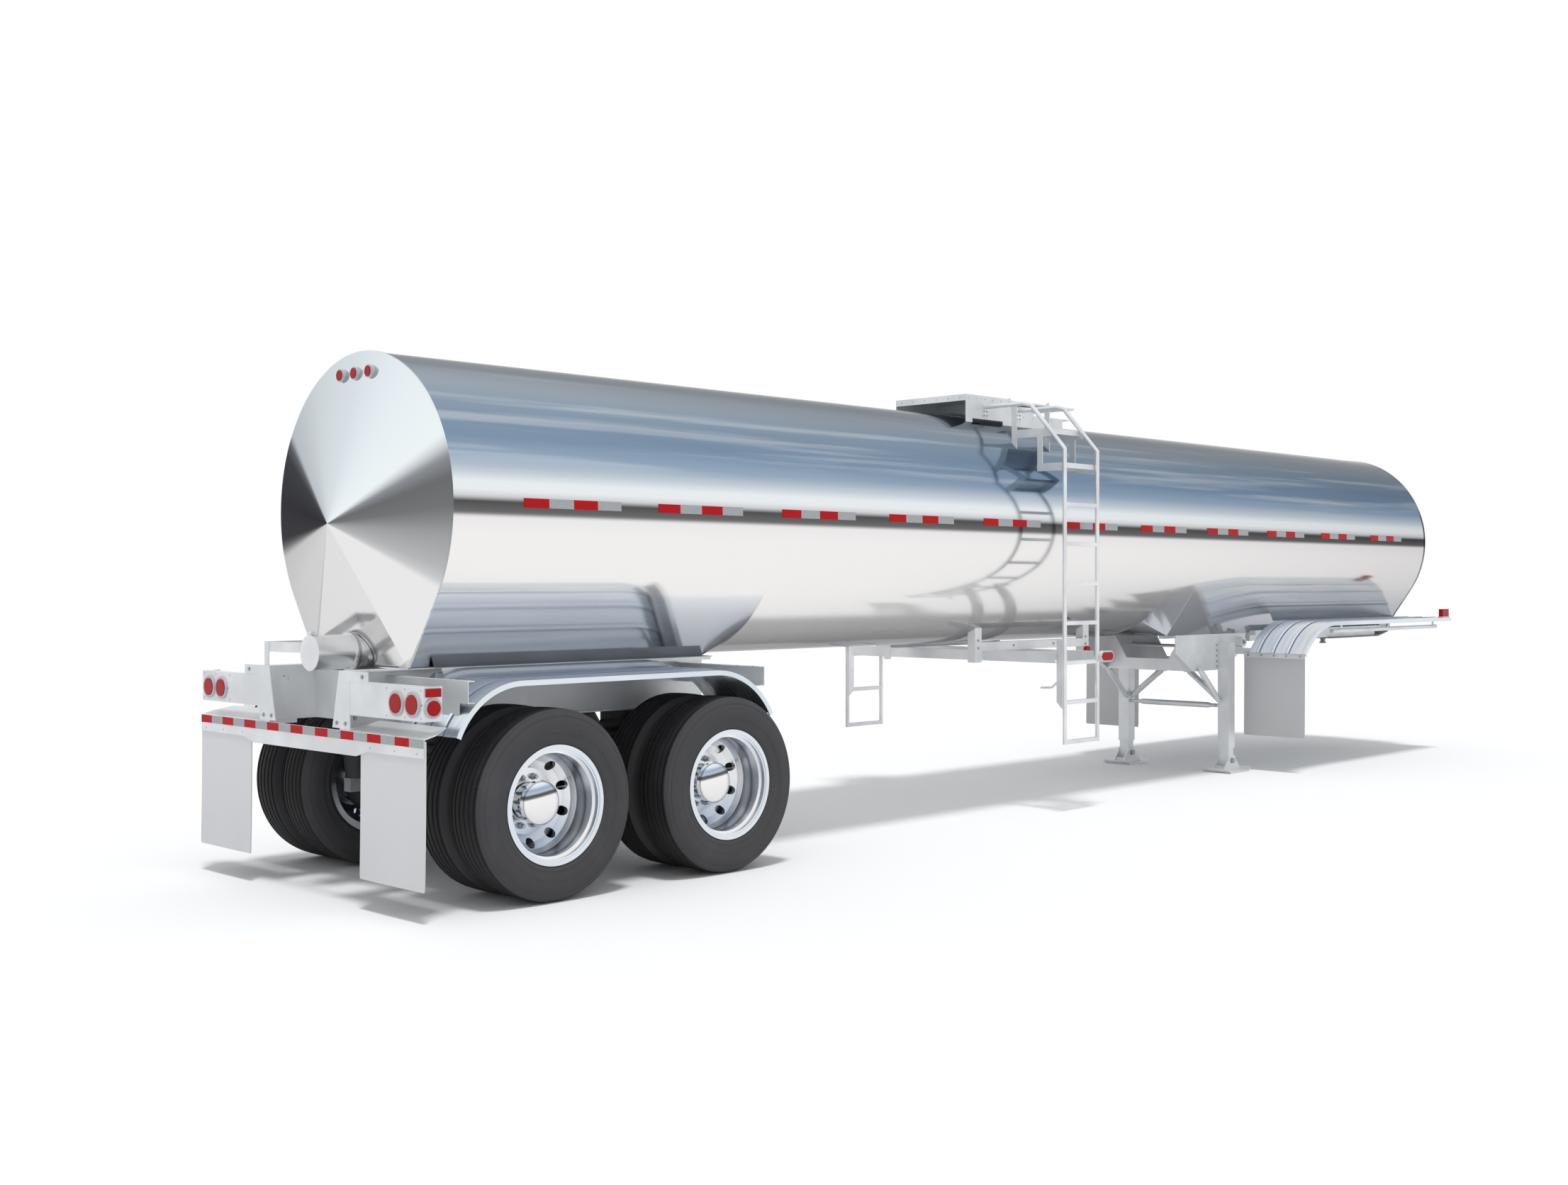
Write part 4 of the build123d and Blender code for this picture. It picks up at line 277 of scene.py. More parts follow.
def mirror_sheet(paint, colour, ripple):
    """Ends a material as polished sheet with faint swells."""
    return paint.finish(
        Base_Color=colour,
        Metallic=1.0,
        Roughness=paint.noise(1.0, (1.5, 9, 9)) * 0.09 + 0.065,
        Specular_Tint=(0.35, 0.35, 0.36, 1.0),
        Normal=paint.bump(paint.noise(1.0, (0.7, 1.3, 1.3), 1.0), ripple),
    )


def jacket_with_painted_reflection(name, belly, ripple):
    """Mirror sheet with a painted reflection whose tone follows the angle round the tank, with long painted
    clouds of reflected sky in its upper part.
    """
    paint = Paint(name)
    _, y, z = paint.axes()
    angle = paint.math("ARCTAN2", z - TANK_Z, abs(y)) / pi + 0.5
    sky = paint.between(angle, 0.56, 0.62)
    drift = (paint.noise(1.0, (0.15, 3.2, 3.2), 4.0) - 0.5) * 0.03
    colour = paint.ramp(angle + drift * sky, stops(belly + JACKET_SIDE_REFLECTION, 180))
    # Painted reflection: pale streaks and blue patches of reflected sky over the upper side
    streak = paint.between(paint.noise(1.0, (0.3, 11, 11), 5.0), 0.5, 0.7)
    colour = paint.mix(streak * 0.3 * sky, colour, tone(236, 240, 244))
    haze = paint.between(paint.noise(1.0, (0.22, 7, 7), 5.0), 0.5, 0.72)
    painted_blue_reflection = (1.0 - paint.between(angle, 0.72, 0.82)) * sky * haze * 0.3
    return mirror_sheet(paint, paint.mix(painted_blue_reflection, colour, tone(104, 124, 152)), ripple)


def head_with_painted_reflection(name, ripple):
    """Mirror sheet with a painted reflection whose tone follows the angle about the head's point."""
    paint = Paint(name)
    _, y, z = paint.axes()
    angle = paint.math("ARCTAN2", z - HEAD_APEX_Z, y) / (2 * pi) + 0.5
    return mirror_sheet(paint, paint.ramp(angle, stops(HEAD_REFLECTION_SHADES, 360)), ripple)


def sheet_metal(name, shade, tint, metallic, roughness, spread, grain):
    """Rolled or brushed sheet: fine grain in gloss and height, and cloudy changes of tone."""
    paint = Paint(name)
    cloud = paint.noise(3.0)
    fine = paint.noise(1.0, tuple(4 * g for g in grain), 2.0)
    dark = altered(tone(*shade), 0.93)
    return paint.finish(
        Base_Color=paint.mix(paint.between(cloud, 0.3, 0.75), dark, tone(*tint)),
        Metallic=metallic,
        Roughness=paint.noise(1.0, grain) * spread + roughness - spread / 2,
        Normal=paint.bump(fine + cloud * 0.5, 0.0004, 0.6),
    )


def rolled_fender(name):
    """Bright rolled sheet: pale with long soft streaks, each rib edged by a painted dark blue reflection at
    its foot and a painted highlight on its crown.
    """
    paint = Paint(name)
    reach = abs(paint.axes()[1])
    rib = abs(reach - RIB_YS[0])
    for rib_y in RIB_YS[1:]:
        rib = paint.math("MINIMUM", rib, abs(reach - rib_y))
    # Painted dark blue reflection along the foot of each rib, and a painted highlight on its crown
    foot = 1.0 - paint.between(abs(rib - 0.0165), 0.002, 0.007)
    painted_glint = 1.0 - paint.between(abs(rib - 0.005), 0.003, 0.012)
    streaks = ((0.2, 188, 197, 207), (0.45, 224, 230, 235), (0.6, 206, 215, 225), (0.8, 246, 248, 250))
    colour = paint.ramp(paint.noise(1.0, (0.35, 9, 1.5)), stops(streaks))
    colour = paint.mix(foot * 0.75, colour, tone(92, 110, 142))
    return paint.finish(
        Base_Color=paint.mix(painted_glint * 0.5, colour, tone(246, 248, 250)),
        Metallic=0.85,
        Roughness=paint.noise(1.0, (3, 30, 30), 2.0) * 0.08 + 0.16,
        Normal=paint.bump(paint.noise(1.0, (1.2, 5, 5), 2.0), 0.002, 0.5),
    )


def rubber(name, shade, roughness):
    """Moulded rubber: matt and dusty in places."""
    paint = Paint(name)
    dust = paint.between(paint.noise(5.0, detail=5.0), 0.45, 0.8)
    return paint.finish(
        Base_Color=paint.mix(dust * 0.5, tone(*shade), altered(tone(*shade), 1.5, 0.01)),
        Roughness=paint.noise(40.0) * 0.12 + roughness - 0.06,
        Specular_IOR_Level=0.35,
        Normal=paint.bump(paint.noise(420.0, detail=2.0), 0.0006, 0.5),
    )


def tyre_rubber(name, centre):
    """Tyre rubber: charcoal sidewalls with fine turned rings, a darker tread and painted black shade in the
    grooves.
    """
    paint = Paint(name)
    _, y, _, radius = paint.about_axle(centre)
    off_middle = abs(abs(abs(y) - DUAL_Y) - TYRE_SHIFT)
    tread = 1.0 - paint.between(off_middle, 0.100, 0.107)
    # Painted shade: the groove walls and bottoms below the tread are made near black
    groove = tread * (1.0 - paint.between(radius, 0.5300, 0.5335))
    dust = paint.between(paint.noise(5.0, detail=5.0), 0.45, 0.8)
    ring = paint.between(paint.math("SINE", radius * 200.0), 0.6, 1.0)
    wall = paint.mix(dust * 0.35 + ring * 0.06, tone(71, 71, 73), tone(88, 88, 90))
    worn = paint.mix(dust * 0.5, tone(40, 40, 42), tone(54, 54, 56))
    fine = paint.noise(420.0, detail=2.0) * 0.4 + paint.math("SINE", radius * 900.0) * 0.25
    return paint.finish(
        Base_Color=paint.mix(groove, paint.mix(tread, wall, worn), tone(3, 3, 3)),
        Roughness=paint.noise(40.0) * 0.12 + 0.64,
        Specular_IOR_Level=0.3,
        Normal=paint.bump(fine, 0.0006, 0.5),
    )


def wheel_alloy(name, centre):
    """Polished alloy with a painted reflection: pale on its face and bluish low down, in a well whose
    painted bands follow its depth.
    """
    paint = Paint(name)
    x, y, z, radius = paint.about_axle(centre)
    turn = paint.math("ARCTAN2", z, x)
    sway = paint.math("SINE", turn * 2.0 + 0.7) * 0.012 + (paint.noise(5.0, detail=1.0) - 0.5) * 0.012
    # Painted reflection bands across the well, by depth and angle round the axle
    reflection_bands = (
        (0.0, 176, 180, 186), (0.12, 150, 155, 162), (0.30, 206, 210, 215), (0.46, 250, 250, 251),
        (0.58, 238, 240, 243), (0.70, 138, 143, 151), (0.78, 226, 229, 233), (0.90, 252, 252, 253),
        (1.0, 222, 227, 233),
    )
    well = paint.ramp(paint.between(abs(y) + sway, 0.90, 1.20), stops(reflection_bands))
    # Painted reflection on the face: bluish low down, pale higher up
    height = paint.between(z + (paint.noise(3.0) - 0.5) * 0.12, -0.26, 0.1)
    disc_reflection = paint.mix(height, tone(186, 198, 214), tone(238, 239, 241))
    return paint.finish(
        Base_Color=paint.mix(paint.between(radius, 0.272, 0.286), disc_reflection, well),
        Metallic=0.92,
        Roughness=paint.noise(24.0) * 0.05 + 0.2,
        Normal=paint.bump(paint.noise(9.0, detail=1.0), 0.0003, 0.3),
    )


def cap_chrome(name, centre, size):
    """Chrome dome with a painted reflection: a pale floor below, a dark band above its middle and blue sky
    over that.
    """
    paint = Paint(name)
    x, _, z = paint.axes(centre)
    # Painted reflection of floor, horizon and sky, by height on the dome and tilted along it
    share = z / (2 * size) + 0.5 + (paint.noise(7.0) - 0.5) * 0.04 - x * 0.55
    reflection_bands = (
        (0.0, 230, 228, 227), (0.63, 240, 238, 237), (0.67, 112, 113, 115), (0.72, 70, 71, 73),
        (0.77, 186, 193, 202), (0.84, 150, 172, 202), (0.92, 226, 233, 241), (1.0, 246, 247, 248),
    )
    return paint.finish(
        Base_Color=paint.ramp(share, stops(reflection_bands)),
        Metallic=1.0,
        Roughness=paint.noise(30.0) * 0.05 + 0.07,
        Normal=paint.bump(paint.noise(60.0), 0.0002, 0.3),
    )


def hub_metal(name, centre):
    """Turned hub: bright near its cap and dark cast iron towards the drum."""
    paint = Paint(name)
    cast = paint.between(paint.about_axle(centre)[3], 0.15, 0.19)
    speckle = paint.noise(160.0, detail=4.0)
    bright = paint.mix(paint.noise(12.0), tone(176, 180, 186), tone(226, 228, 231))
    dull = paint.mix(speckle, tone(44, 45, 47), tone(92, 92, 94))
    return paint.finish(
        Base_Color=paint.mix(cast, bright, dull),
        Metallic=1.0 - cast * 0.6,
        Roughness=cast * 0.4 + paint.noise(30.0) * 0.1 + 0.14,
        Normal=paint.bump(speckle, 0.0006, 0.5),
    )


def lens(name, shade):
    """Moulded red lens: small square prisms under a clear glossy skin."""
    paint = Paint(name)
    x, y, z = paint.axes()
    grid = paint.math("SINE", (x + y) * 700.0) * paint.math("SINE", z * 700.0)
    cloud = paint.noise(30.0, detail=2.0)
    return paint.finish(
        Base_Color=paint.mix(paint.between(grid + cloud * 0.8, -0.6, 0.9), altered(shade, 0.55), shade),
        Roughness=cloud * 0.12 + 0.3,
        Specular_IOR_Level=0.12,
        Coat_Weight=0.12,
        Coat_Roughness=0.1,
        Normal=paint.bump(grid, 0.0012, 0.6),
    )


def reflective_tape(name, shade):
    """Retroreflective strip with a honeycomb of small cells."""
    paint = Paint(name)
    cell = paint.cells(150.0)
    return paint.finish(
        Base_Color=paint.mix(paint.between(cell, 0.15, 0.55), altered(shade, 1.25), shade),
        Roughness=paint.noise(12.0) * 0.15 + 0.35,
        Specular_IOR_Level=0.1,
        Normal=paint.bump(cell, 0.0004, 0.5),
    )


def flap_finish(name, shade):
    """Thick moulded flap: fine grain, and road dust towards the foot."""
    paint = Paint(name)
    low = 1.0 - paint.between(paint.axes()[2], 0.2, 0.75)
    dust = paint.noise(4.0, (1, 1, 0.4), 5.0) * low
    return paint.finish(
        Base_Color=paint.mix(dust * 0.55, tone(*shade), altered(tone(*shade), 0.8)),
        Roughness=paint.noise(60.0) * 0.14 + 0.46,
        Normal=paint.bump(paint.noise(260.0), 0.0005, 0.5),
    )


def painted_iron(name, shade):
    """Chassis paint over forged and welded steel, dull with dust on it."""
    paint = Paint(name)
    dust = paint.between(paint.noise(7.0, detail=5.0), 0.4, 0.75)
    return paint.finish(
        Base_Color=paint.mix(dust * 0.5, tone(*shade), altered(tone(*shade), 1.9, 0.01)),
        Metallic=0.2,
        Roughness=paint.noise(30.0) * 0.2 + 0.42,
        Normal=paint.bump(paint.noise(220.0), 0.0006, 0.6),
    )


def plastic(name, shade):
    """Moulded lamp body: semi gloss, with faint flow marks."""
    paint = Paint(name)
    flow = paint.noise(22.0, (1, 2, 1))
    return paint.finish(
        Base_Color=paint.mix(flow, altered(tone(*shade), 0.86), tone(*shade)),
        Roughness=flow * 0.15 + 0.22,
        Coat_Weight=0.3,
        Normal=paint.bump(paint.noise(300.0), 0.0002, 0.3),
    )


# The plain finishes, each with its recipe and shade. Sheet metal goes on with its tint, its share of metal,
# its roughness, how far that spreads and its grain, and rubber with its roughness.
FINISHES = {
    "satin_plate": (sheet_metal, (224, 226, 228), (235, 237, 239), 0.35, 0.42, 0.12, (40, 40, 40)),
    "sheet_steel": (sheet_metal, (196, 200, 205), (226, 229, 232), 1.0, 0.22, 0.1, (12, 30, 30)),
    "can_sheet": (sheet_metal, (216, 218, 221), (236, 237, 239), 0.8, 0.24, 0.08, (8, 40, 40)),
    "cap_face": (sheet_metal, (222, 224, 226), (238, 239, 240), 0.8, 0.24, 0.1, (30, 30, 30)),
    "ladder_tube": (sheet_metal, (226, 228, 231), (240, 241, 243), 0.55, 0.3, 0.1, (50, 50, 8)),
    "bright_fastener": (sheet_metal, (176, 179, 184), (176, 179, 184), 0.9, 0.3, 0.12, (80, 80, 80)),
    "kingpin_steel": (sheet_metal, (128, 128, 130), (128, 128, 130), 0.95, 0.32, 0.14, (30, 30, 90)),
    "rolled_fender": (rolled_fender,),
    "chassis_paint": (painted_iron, (150, 151, 154)),
    "coupler_plate": (painted_iron, (118, 120, 123)),
    "slot_shadow": (plastic, (34, 34, 36)),
    "lamp_ring": (plastic, (196, 198, 201)),
    "marker_body": (plastic, (226, 227, 228)),
    "bellows_rubber": (rubber, (52, 52, 54), 0.62),
    "gasket_rubber": (rubber, (58, 58, 60), 0.6),
    "flap_rear_flaps": (flap_finish, (224, 225, 228)),
    # The front flaps take a darker shade than the rear ones: painted shade for the trailer's shadow over
    # them
    "flap_front_flaps": (flap_finish, (198, 199, 201)),
}
MATERIALS = {}


def material(name, *recipe):
    """The material of a name, made once, from a recipe and its values or else from the finishes."""
    if name not in MATERIALS:
        recipe, *values = recipe or FINISHES[name]
        MATERIALS[name] = recipe(name, *values)
    return MATERIALS[name]


# Meshes


def mesh_object(name, mesh):
    piece = bpy.data.objects.new(name, mesh)
    bpy.context.scene.collection.objects.link(piece)
    return piece


def solid_mesh(name, verts, faces, crease):
    """A mesh with its doubles merged, its faces outward and its edges crisp past an angle."""
    mesh = bpy.data.meshes.new(name)
    mesh.from_pydata(verts, [], faces)
    shape = bmesh.new()
    shape.from_mesh(mesh)
    bmesh.ops.remove_doubles(shape, verts=shape.verts, dist=1e-6)
    bmesh.ops.recalc_face_normals(shape, faces=shape.faces)
    shape.to_mesh(mesh)
    shape.free()
    mesh.shade_smooth()
    mesh.set_sharp_from_angle(angle=radians(crease))
    return mesh


def loft_parts(rings, joined=False):
    """Corners and faces of a skin over closed rings of points, its ends closed or joined to each other."""
    count = len(rings[0])
    verts = [Vector(point) for ring in rings for point in ring]
    faces = []
    for k in range(len(rings) if joined else len(rings) - 1):
        here, there = k * count, (k + 1) % len(rings) * count
        for n in range(count):
            following = (n + 1) % count
            a, b, c, d = here + n, here + following, there + following, there + n
            if verts[a] != verts[d] or verts[b] != verts[c]:
                faces.append((a, b, c, d))
    if not joined:
        faces += [tuple(range(count)), tuple(range(len(verts) - count, len(verts)))]
    return verts, faces


def oval(centre, across, up, segments):
    """Points round a centre, from the two vectors that reach its rim."""
    angles = [2 * pi * step / segments for step in range(segments)]
    return [centre + across * cos(angle) + up * sin(angle) for angle in angles]


AXIS_FRAMES = {
    "X": ((0, 1, 0), (0, 0, 1), (1, 0, 0)),
    "Y": ((1, 0, 0), (0, 0, 1), (0, 1, 0)),
    "Z": ((1, 0, 0), (0, 1, 0), (0, 0, 1)),
}


def turned_parts(profile, centre, axis, segments):
    """Corners and faces of a closed outline, of places along an axis and radii, turned about that axis."""
    across, up, along = (Vector(v) for v in AXIS_FRAMES[axis])
    ways = oval(Vector(), across, up, segments)
    rings = [[Vector(centre) + along * out + way * radius for out, radius in profile] for way in ways]
    return loft_parts(rings, joined=True)


def tube_parts(path, radius, segments):
    """A round bar along a line of points, its ends closed."""
    points = [Vector(p) for p in path]
    rings = []
    for k, point in enumerate(points):
        before, after = points[max(k - 1, 0)], points[min(k + 1, len(points) - 1)]
        turn = (after - before).to_track_quat("Z", "Y")
        rings.append(oval(point, turn @ Vector((radius, 0, 0)), turn @ Vector((0, radius, 0)), segments))
    return loft_parts(rings)


def box_parts(low, high):
    (x0, y0, z0), (x1, y1, z1) = low, high
    return loft_parts([[(x, y0, z0), (x, y1, z0), (x, y1, z1), (x, y0, z1)] for x in (x0, x1)])


def join_parts(parts):
    """One list of corners and one of faces from several."""
    verts, faces = [], []
    for some_verts, some_faces in parts:
        start = len(verts)
        verts.extend(some_verts)
        faces.extend(tuple(start + k for k in face) for face in some_faces)
    return verts, faces


def place(piece, body, finish_slot, paint, nodes=()):
    """Gives a piece its material and its body, and hides the nodes that it stands for; its finish slot is
    not used.
    """
    piece.data.materials.clear()
    piece.data.materials.append(paint)
    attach(piece, body)
    if nodes:
        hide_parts(*nodes)


def build(name, parts, finish_slot, paint, body=TRAILER, nodes=(), crease=35):
    """A piece from its corners and faces, in its place on a body."""
    place(mesh_object(name, solid_mesh(name, *parts, crease)), body, finish_slot, paint, nodes)


def dress(nodes, paint):
    """Gives nodes of the frame a material, in every slot."""
    for node in nodes.split():
        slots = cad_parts[node].material_slots
        for entry in slots:
            entry.material = paint
        if not slots:
            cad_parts[node].data.materials.append(paint)


# Repeats made by Geometry Nodes


def scatter_tree(name, shape):
    """A tree that puts one small shape on every point, turned so that it stands along the point's aim."""
    group = bpy.data.node_groups.new(name, "GeometryNodeTree")
    group.interface.new_socket("Geometry", in_out="OUTPUT", socket_type="NodeSocketGeometry")
    inputs = {"Geometry": "Geometry", "Size": "Vector", "Sides": "Int", "Finish": "Material"}
    for label, kind in inputs.items():
        group.interface.new_socket(label, in_out="INPUT", socket_type="NodeSocket" + kind)
    tree = Graph(group)
    given = tree.add("NodeGroupInput").outputs
    sides = given["Sides"]
    size = tree.add("ShaderNodeSeparateXYZ", {0: given["Size"]}).outputs
    half = tree.out("ShaderNodeMath", {0: size["Z"], 1: 0.5}, operation="MULTIPLY")
    lift = tree.out("ShaderNodeCombineXYZ", {"Z": half})
    if shape == "block":
        body = tree.out("GeometryNodeMeshCube", {"Size": given["Size"]})
    elif shape == "dome":
        body = tree.out("GeometryNodeMeshUVSphere", {"Segments": sides, "Rings": 6, "Radius": 1.0})
        body = tree.out("GeometryNodeTransform", {"Geometry": body, "Scale": given["Size"]})
        lift = (0, 0, 0)
    elif shape == "ring":
        line = tree.out("GeometryNodeCurvePrimitiveCircle", {"Resolution": sides, "Radius": size["X"]})
        section = tree.out("GeometryNodeCurvePrimitiveCircle", {"Resolution": 5, "Radius": size["Z"]})
        body = tree.out("GeometryNodeCurveToMesh", {"Curve": line, "Profile Curve": section})
        lift = (0, 0, 0)
    else:
        values = {"Vertices": sides, "Radius": size["X"], "Depth": size["Z"]}
        body = tree.out("GeometryNodeMeshCylinder", values)
    body = tree.out("GeometryNodeTransform", {"Geometry": body, "Translation": lift})
    if shape == "bolt":
        thin = tree.out("ShaderNodeMath", {0: size["Z"], 1: 0.22}, operation="MULTIPLY")
        washer = tree.out("GeometryNodeMeshCylinder", {"Vertices": 14, "Radius": size["Y"], "Depth": thin})
        body = tree.out("GeometryNodeJoinGeometry", {"Geometry": [body, washer]})
    aim = tree.out("GeometryNodeInputNamedAttribute", {"Name": "aim"}, data_type="FLOAT_VECTOR")
    turn = tree.out("FunctionNodeAlignRotationToVector", {"Vector": aim}, axis="Z")
    values = {"Points": given["Geometry"], "Instance": body, "Rotation": turn}
    copies = tree.out("GeometryNodeInstanceOnPoints", values)
    real = tree.out("GeometryNodeRealizeInstances", {"Geometry": copies})
    done = tree.out("GeometryNodeSetMaterial", {"Geometry": real, "Material": given["Finish"]})
    tree.add("NodeGroupOutput", {"Geometry": done})
    return group


def scatter(name, rows, shape, size, sides=6, paint=None, finish_slot="satin_stainless", body=TRAILER):
    """One plain mesh of like small shapes, bright fasteners unless a paint is given.

    Rows are pairs of a place and the way the shape stands. Size is a block's three sides, a dome's three
    radii, or a radius, a washer's radius and a height.
    """
    paint = paint or material("bright_fastener")
    mesh = bpy.data.meshes.new(name)
    mesh.from_pydata([Vector(point) for point, aim in rows], [], [])
    aims = mesh.attributes.new("aim", "FLOAT_VECTOR", "POINT")
    for entry, (point, aim) in zip(aims.data, rows):
        entry.vector = Vector(aim).normalized()
    piece = mesh_object(name, mesh)
    key = "scatter_" + shape
    group = bpy.data.node_groups.get(key) or scatter_tree(key, shape)
    modifier = piece.modifiers.new("scatter", "NODES")
    modifier.node_group = group
    given = {item.name: item.identifier for item in group.interface.items_tree if item.in_out == "INPUT"}
    modifier[given["Size"]] = size
    modifier[given["Sides"]] = sides
    modifier[given["Finish"]] = paint
    piece.update_tag()
    settled = bpy.data.meshes.new_from_object(piece.evaluated_get(bpy.context.evaluated_depsgraph_get()))
    settled.name = name
    piece.modifiers.clear()
    piece.data = settled
    bpy.data.meshes.remove(mesh)
    if shape in ("dome", "ring"):
        settled.shade_smooth()
    place(piece, body, finish_slot, paint)


# Settings


class TrailerLooks(bpy.types.PropertyGroup):
    """Sizes and colours that a user would change."""

    tape_red: bpy.props.FloatVectorProperty(
        name="Tape red", description="Red of the reflective strips",
        subtype="COLOR", size=4, default=tone(186, 22, 28),
    )
    tape_pale: bpy.props.FloatVectorProperty(
        name="Tape pale", description="Pale of the reflective strips",
        subtype="COLOR", size=4, default=tone(172, 175, 178),
    )
    lens_red: bpy.props.FloatVectorProperty(
        name="Lens red", description="Colour of the lamp lenses",
        subtype="COLOR", size=4, default=tone(188, 18, 24),
    )
    tape_length: bpy.props.FloatProperty(
        name="Tape block", description="Length of one block on the tank", unit="LENGTH", default=0.1795
    )
    tape_height: bpy.props.FloatProperty(
        name="Tape height", description="Height of the strip on the tank", unit="LENGTH", default=0.054
    )
    groove_width: bpy.props.FloatProperty(
        name="Tread groove", description="Width of a groove in the tread", unit="LENGTH", default=0.0115
    )
    groove_depth: bpy.props.FloatProperty(
        name="Tread depth", description="Depth of a groove in the tread", unit="LENGTH", default=0.014
    )
    ripple: bpy.props.FloatProperty(
        name="Sheet ripple", description="Height of the faint swells", unit="LENGTH", default=0.0035
    )
    flap_bow: bpy.props.FloatProperty(
        name="Flap bow", description="How far a flap's foot hangs to the rear", unit="LENGTH", default=0.008
    )
    floor_shade: bpy.props.FloatProperty(
        name="Floor", description="Share of light that the floor returns",
        subtype="FACTOR", min=0.0, max=1.0, default=0.82,
    )
    lamp_power: bpy.props.FloatProperty(
        name="Lamp", description="Strength of the lamp overhead", min=0.0, default=1.42
    )
    air_power: bpy.props.FloatProperty(
        name="Air", description="Strength of the light from all round", min=0.0, default=0.62
    )


class Maker(bpy.types.Operator):
    """Base of the operators that make pieces."""

    bl_options = {"REGISTER", "UNDO"}

    def execute(self, context):
        self.make(context.scene.trailer_looks)
        return {"FINISHED"}


# Tank

# The weld between two sheets of the front jacket, ahead of the rear axle
SEAM_X = 7.47
SEAM_HALF_WIDTH, SEAM_RISE, SEAM_SINK = 0.003, 0.0008, -0.002
# Where the deepened jacket leaves the round, and the height of its floor
SHOULDER_ANGLE = radians(34)
BELLY_Z = 1.29


def section_point(angle, grow):
    """Point of a deepened jacket's outline at an angle round the tank, moved outward."""
    radius = TANK_RADIUS + grow
    y, z = radius * cos(angle), radius * sin(angle)
    shoulder_y, shoulder_z = radius * cos(SHOULDER_ANGLE), -radius * sin(SHOULDER_ANGLE)
    if z < shoulder_z:
        depth = shoulder_z - (BELLY_Z - TANK_Z - grow)
        share = (shoulder_z - z) / (shoulder_z + radius)
        foot_y = shoulder_y - depth * sin(SHOULDER_ANGLE) / cos(SHOULDER_ANGLE)
        y = (1 if y >= 0 else -1) * (shoulder_y + (foot_y - shoulder_y) * share)
        z = shoulder_z - share * depth
    return y, TANK_Z + z


def weld_band_parts(x, steps=96):
    """A thin raised band round the jacket at a place along the trailer."""
    rings = []
    for step in range(steps):
        ring = []
        for grow, shift in ((SEAM_SINK, -1), (SEAM_RISE, -0.5), (SEAM_RISE, 0.5), (SEAM_SINK, 1)):
            y, z = section_point(2 * pi * step / steps, grow)
            ring.append((at(x) + shift * SEAM_HALF_WIDTH, y, z))
        rings.append(ring)
    return loft_parts(rings, joined=True)


class TRAILER_OT_tank(Maker):
    """Polished jacket and heads, with their weld band"""

    bl_idname = "trailer.tank"
    bl_label = "Tank"

    def make(self, given):
        # The jackets and heads carry a painted reflection in their colour
        deep = material("deep_tank_polish", jacket_with_painted_reflection, SHADED_BELLY, given.ripple)
        dress("jacket_middle", material("tank_polish", jacket_with_painted_reflection, OPEN_BELLY, given.ripple))
        dress("jacket_rear", material("rear_tank_polish", jacket_with_painted_reflection, FLANKED_BELLY, given.ripple))
        dress("jacket_front", deep)
        dress("rear_head front_head", material("head_polish", head_with_painted_reflection, given.ripple / 3))
        build("jacket_weld_band", weld_band_parts(SEAM_X), "polished_stainless", deep)


# Where each group of blocks on the tank starts, ahead of the rear axle, and the strips' places and sizes
TAPE_GROUPS = (-0.018, 0.996, 2.075, 3.150, 4.226, 5.299, 6.373, 7.444, 8.513, 9.581, 10.647)
TAPE_Z = 2.224
BUMPER_TAPE_Z = 0.9375
BUMPER_TAPE_PITCH = 0.2695
BUMPER_TAPE_HEIGHT = 0.046
TANK_TAPE_WALL, BUMPER_TAPE_WALL = 0.0016, 0.0012


class TRAILER_OT_tape(Maker):
    """Red and pale reflective strips along the tank and across the bumper"""

    bl_idname = "trailer.tape"
    bl_label = "Reflective tape"

    def make(self, given):
        length, height = given.tape_length, given.tape_height
        rise = TAPE_Z - TANK_Z
        side_y = sqrt(TANK_RADIUS**2 - rise**2)
        low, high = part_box("bumper")
        colours = (("red", given.tape_red, 0, "red_lens"), ("pale", given.tape_pale, 1, "white_plastic"))
        for label, shade, turn, finish_slot in colours:
            paint = material("tape_" + label, reflective_tape, tuple(shade))
            starts = [at(start + (k + 0.5) * length) for start in TAPE_GROUPS for k in (turn, turn + 2)]
            rows = both_sides([((x, side_y, TAPE_Z), (0, side_y, rise)) for x in starts])
            look = {"paint": paint, "finish_slot": finish_slot}
            scatter(f"tank_tape_{label}", rows, "block", (length, height, TANK_TAPE_WALL), **look)
            places = [high.y - (k + 0.25 + turn / 2) * BUMPER_TAPE_PITCH for k in range(9)]
            rows = [((low.x, y, BUMPER_TAPE_Z), REARWARD) for y in places]
            size = (BUMPER_TAPE_HEIGHT, BUMPER_TAPE_PITCH / 2, BUMPER_TAPE_WALL)
            scatter(f"bumper_tape_{label}", rows, "block", size, **look)


# Wheels

# Half of a tyre's outline from its bead to its shoulder: distance from its middle and radius
TYRE_WALL = (
    (0.1115, 0.3195), (0.1115, 0.3395), (0.1185, 0.3465), (0.1265, 0.3560), (0.1285, 0.3600),
    (0.1275, 0.3640), (0.1335, 0.3900), (0.1375, 0.4120), (0.1400, 0.4135), (0.1400, 0.4165),
    (0.1390, 0.4180), (0.1415, 0.4400), (0.1405, 0.4620), (0.1375, 0.4800), (0.1330, 0.4935),
    (0.1345, 0.4955), (0.1335, 0.4990), (0.1310, 0.5000), (0.1255, 0.5120), (0.1190, 0.5215),
    (0.1175, 0.5195), (0.1160, 0.5225), (0.1110, 0.5290), (0.1040, 0.5342),
)
# The outermost groove from a tyre's middle, and how far the tread has dropped there
OUTER_GROOVE_Y, TREAD_DROP = 0.084, 0.0022

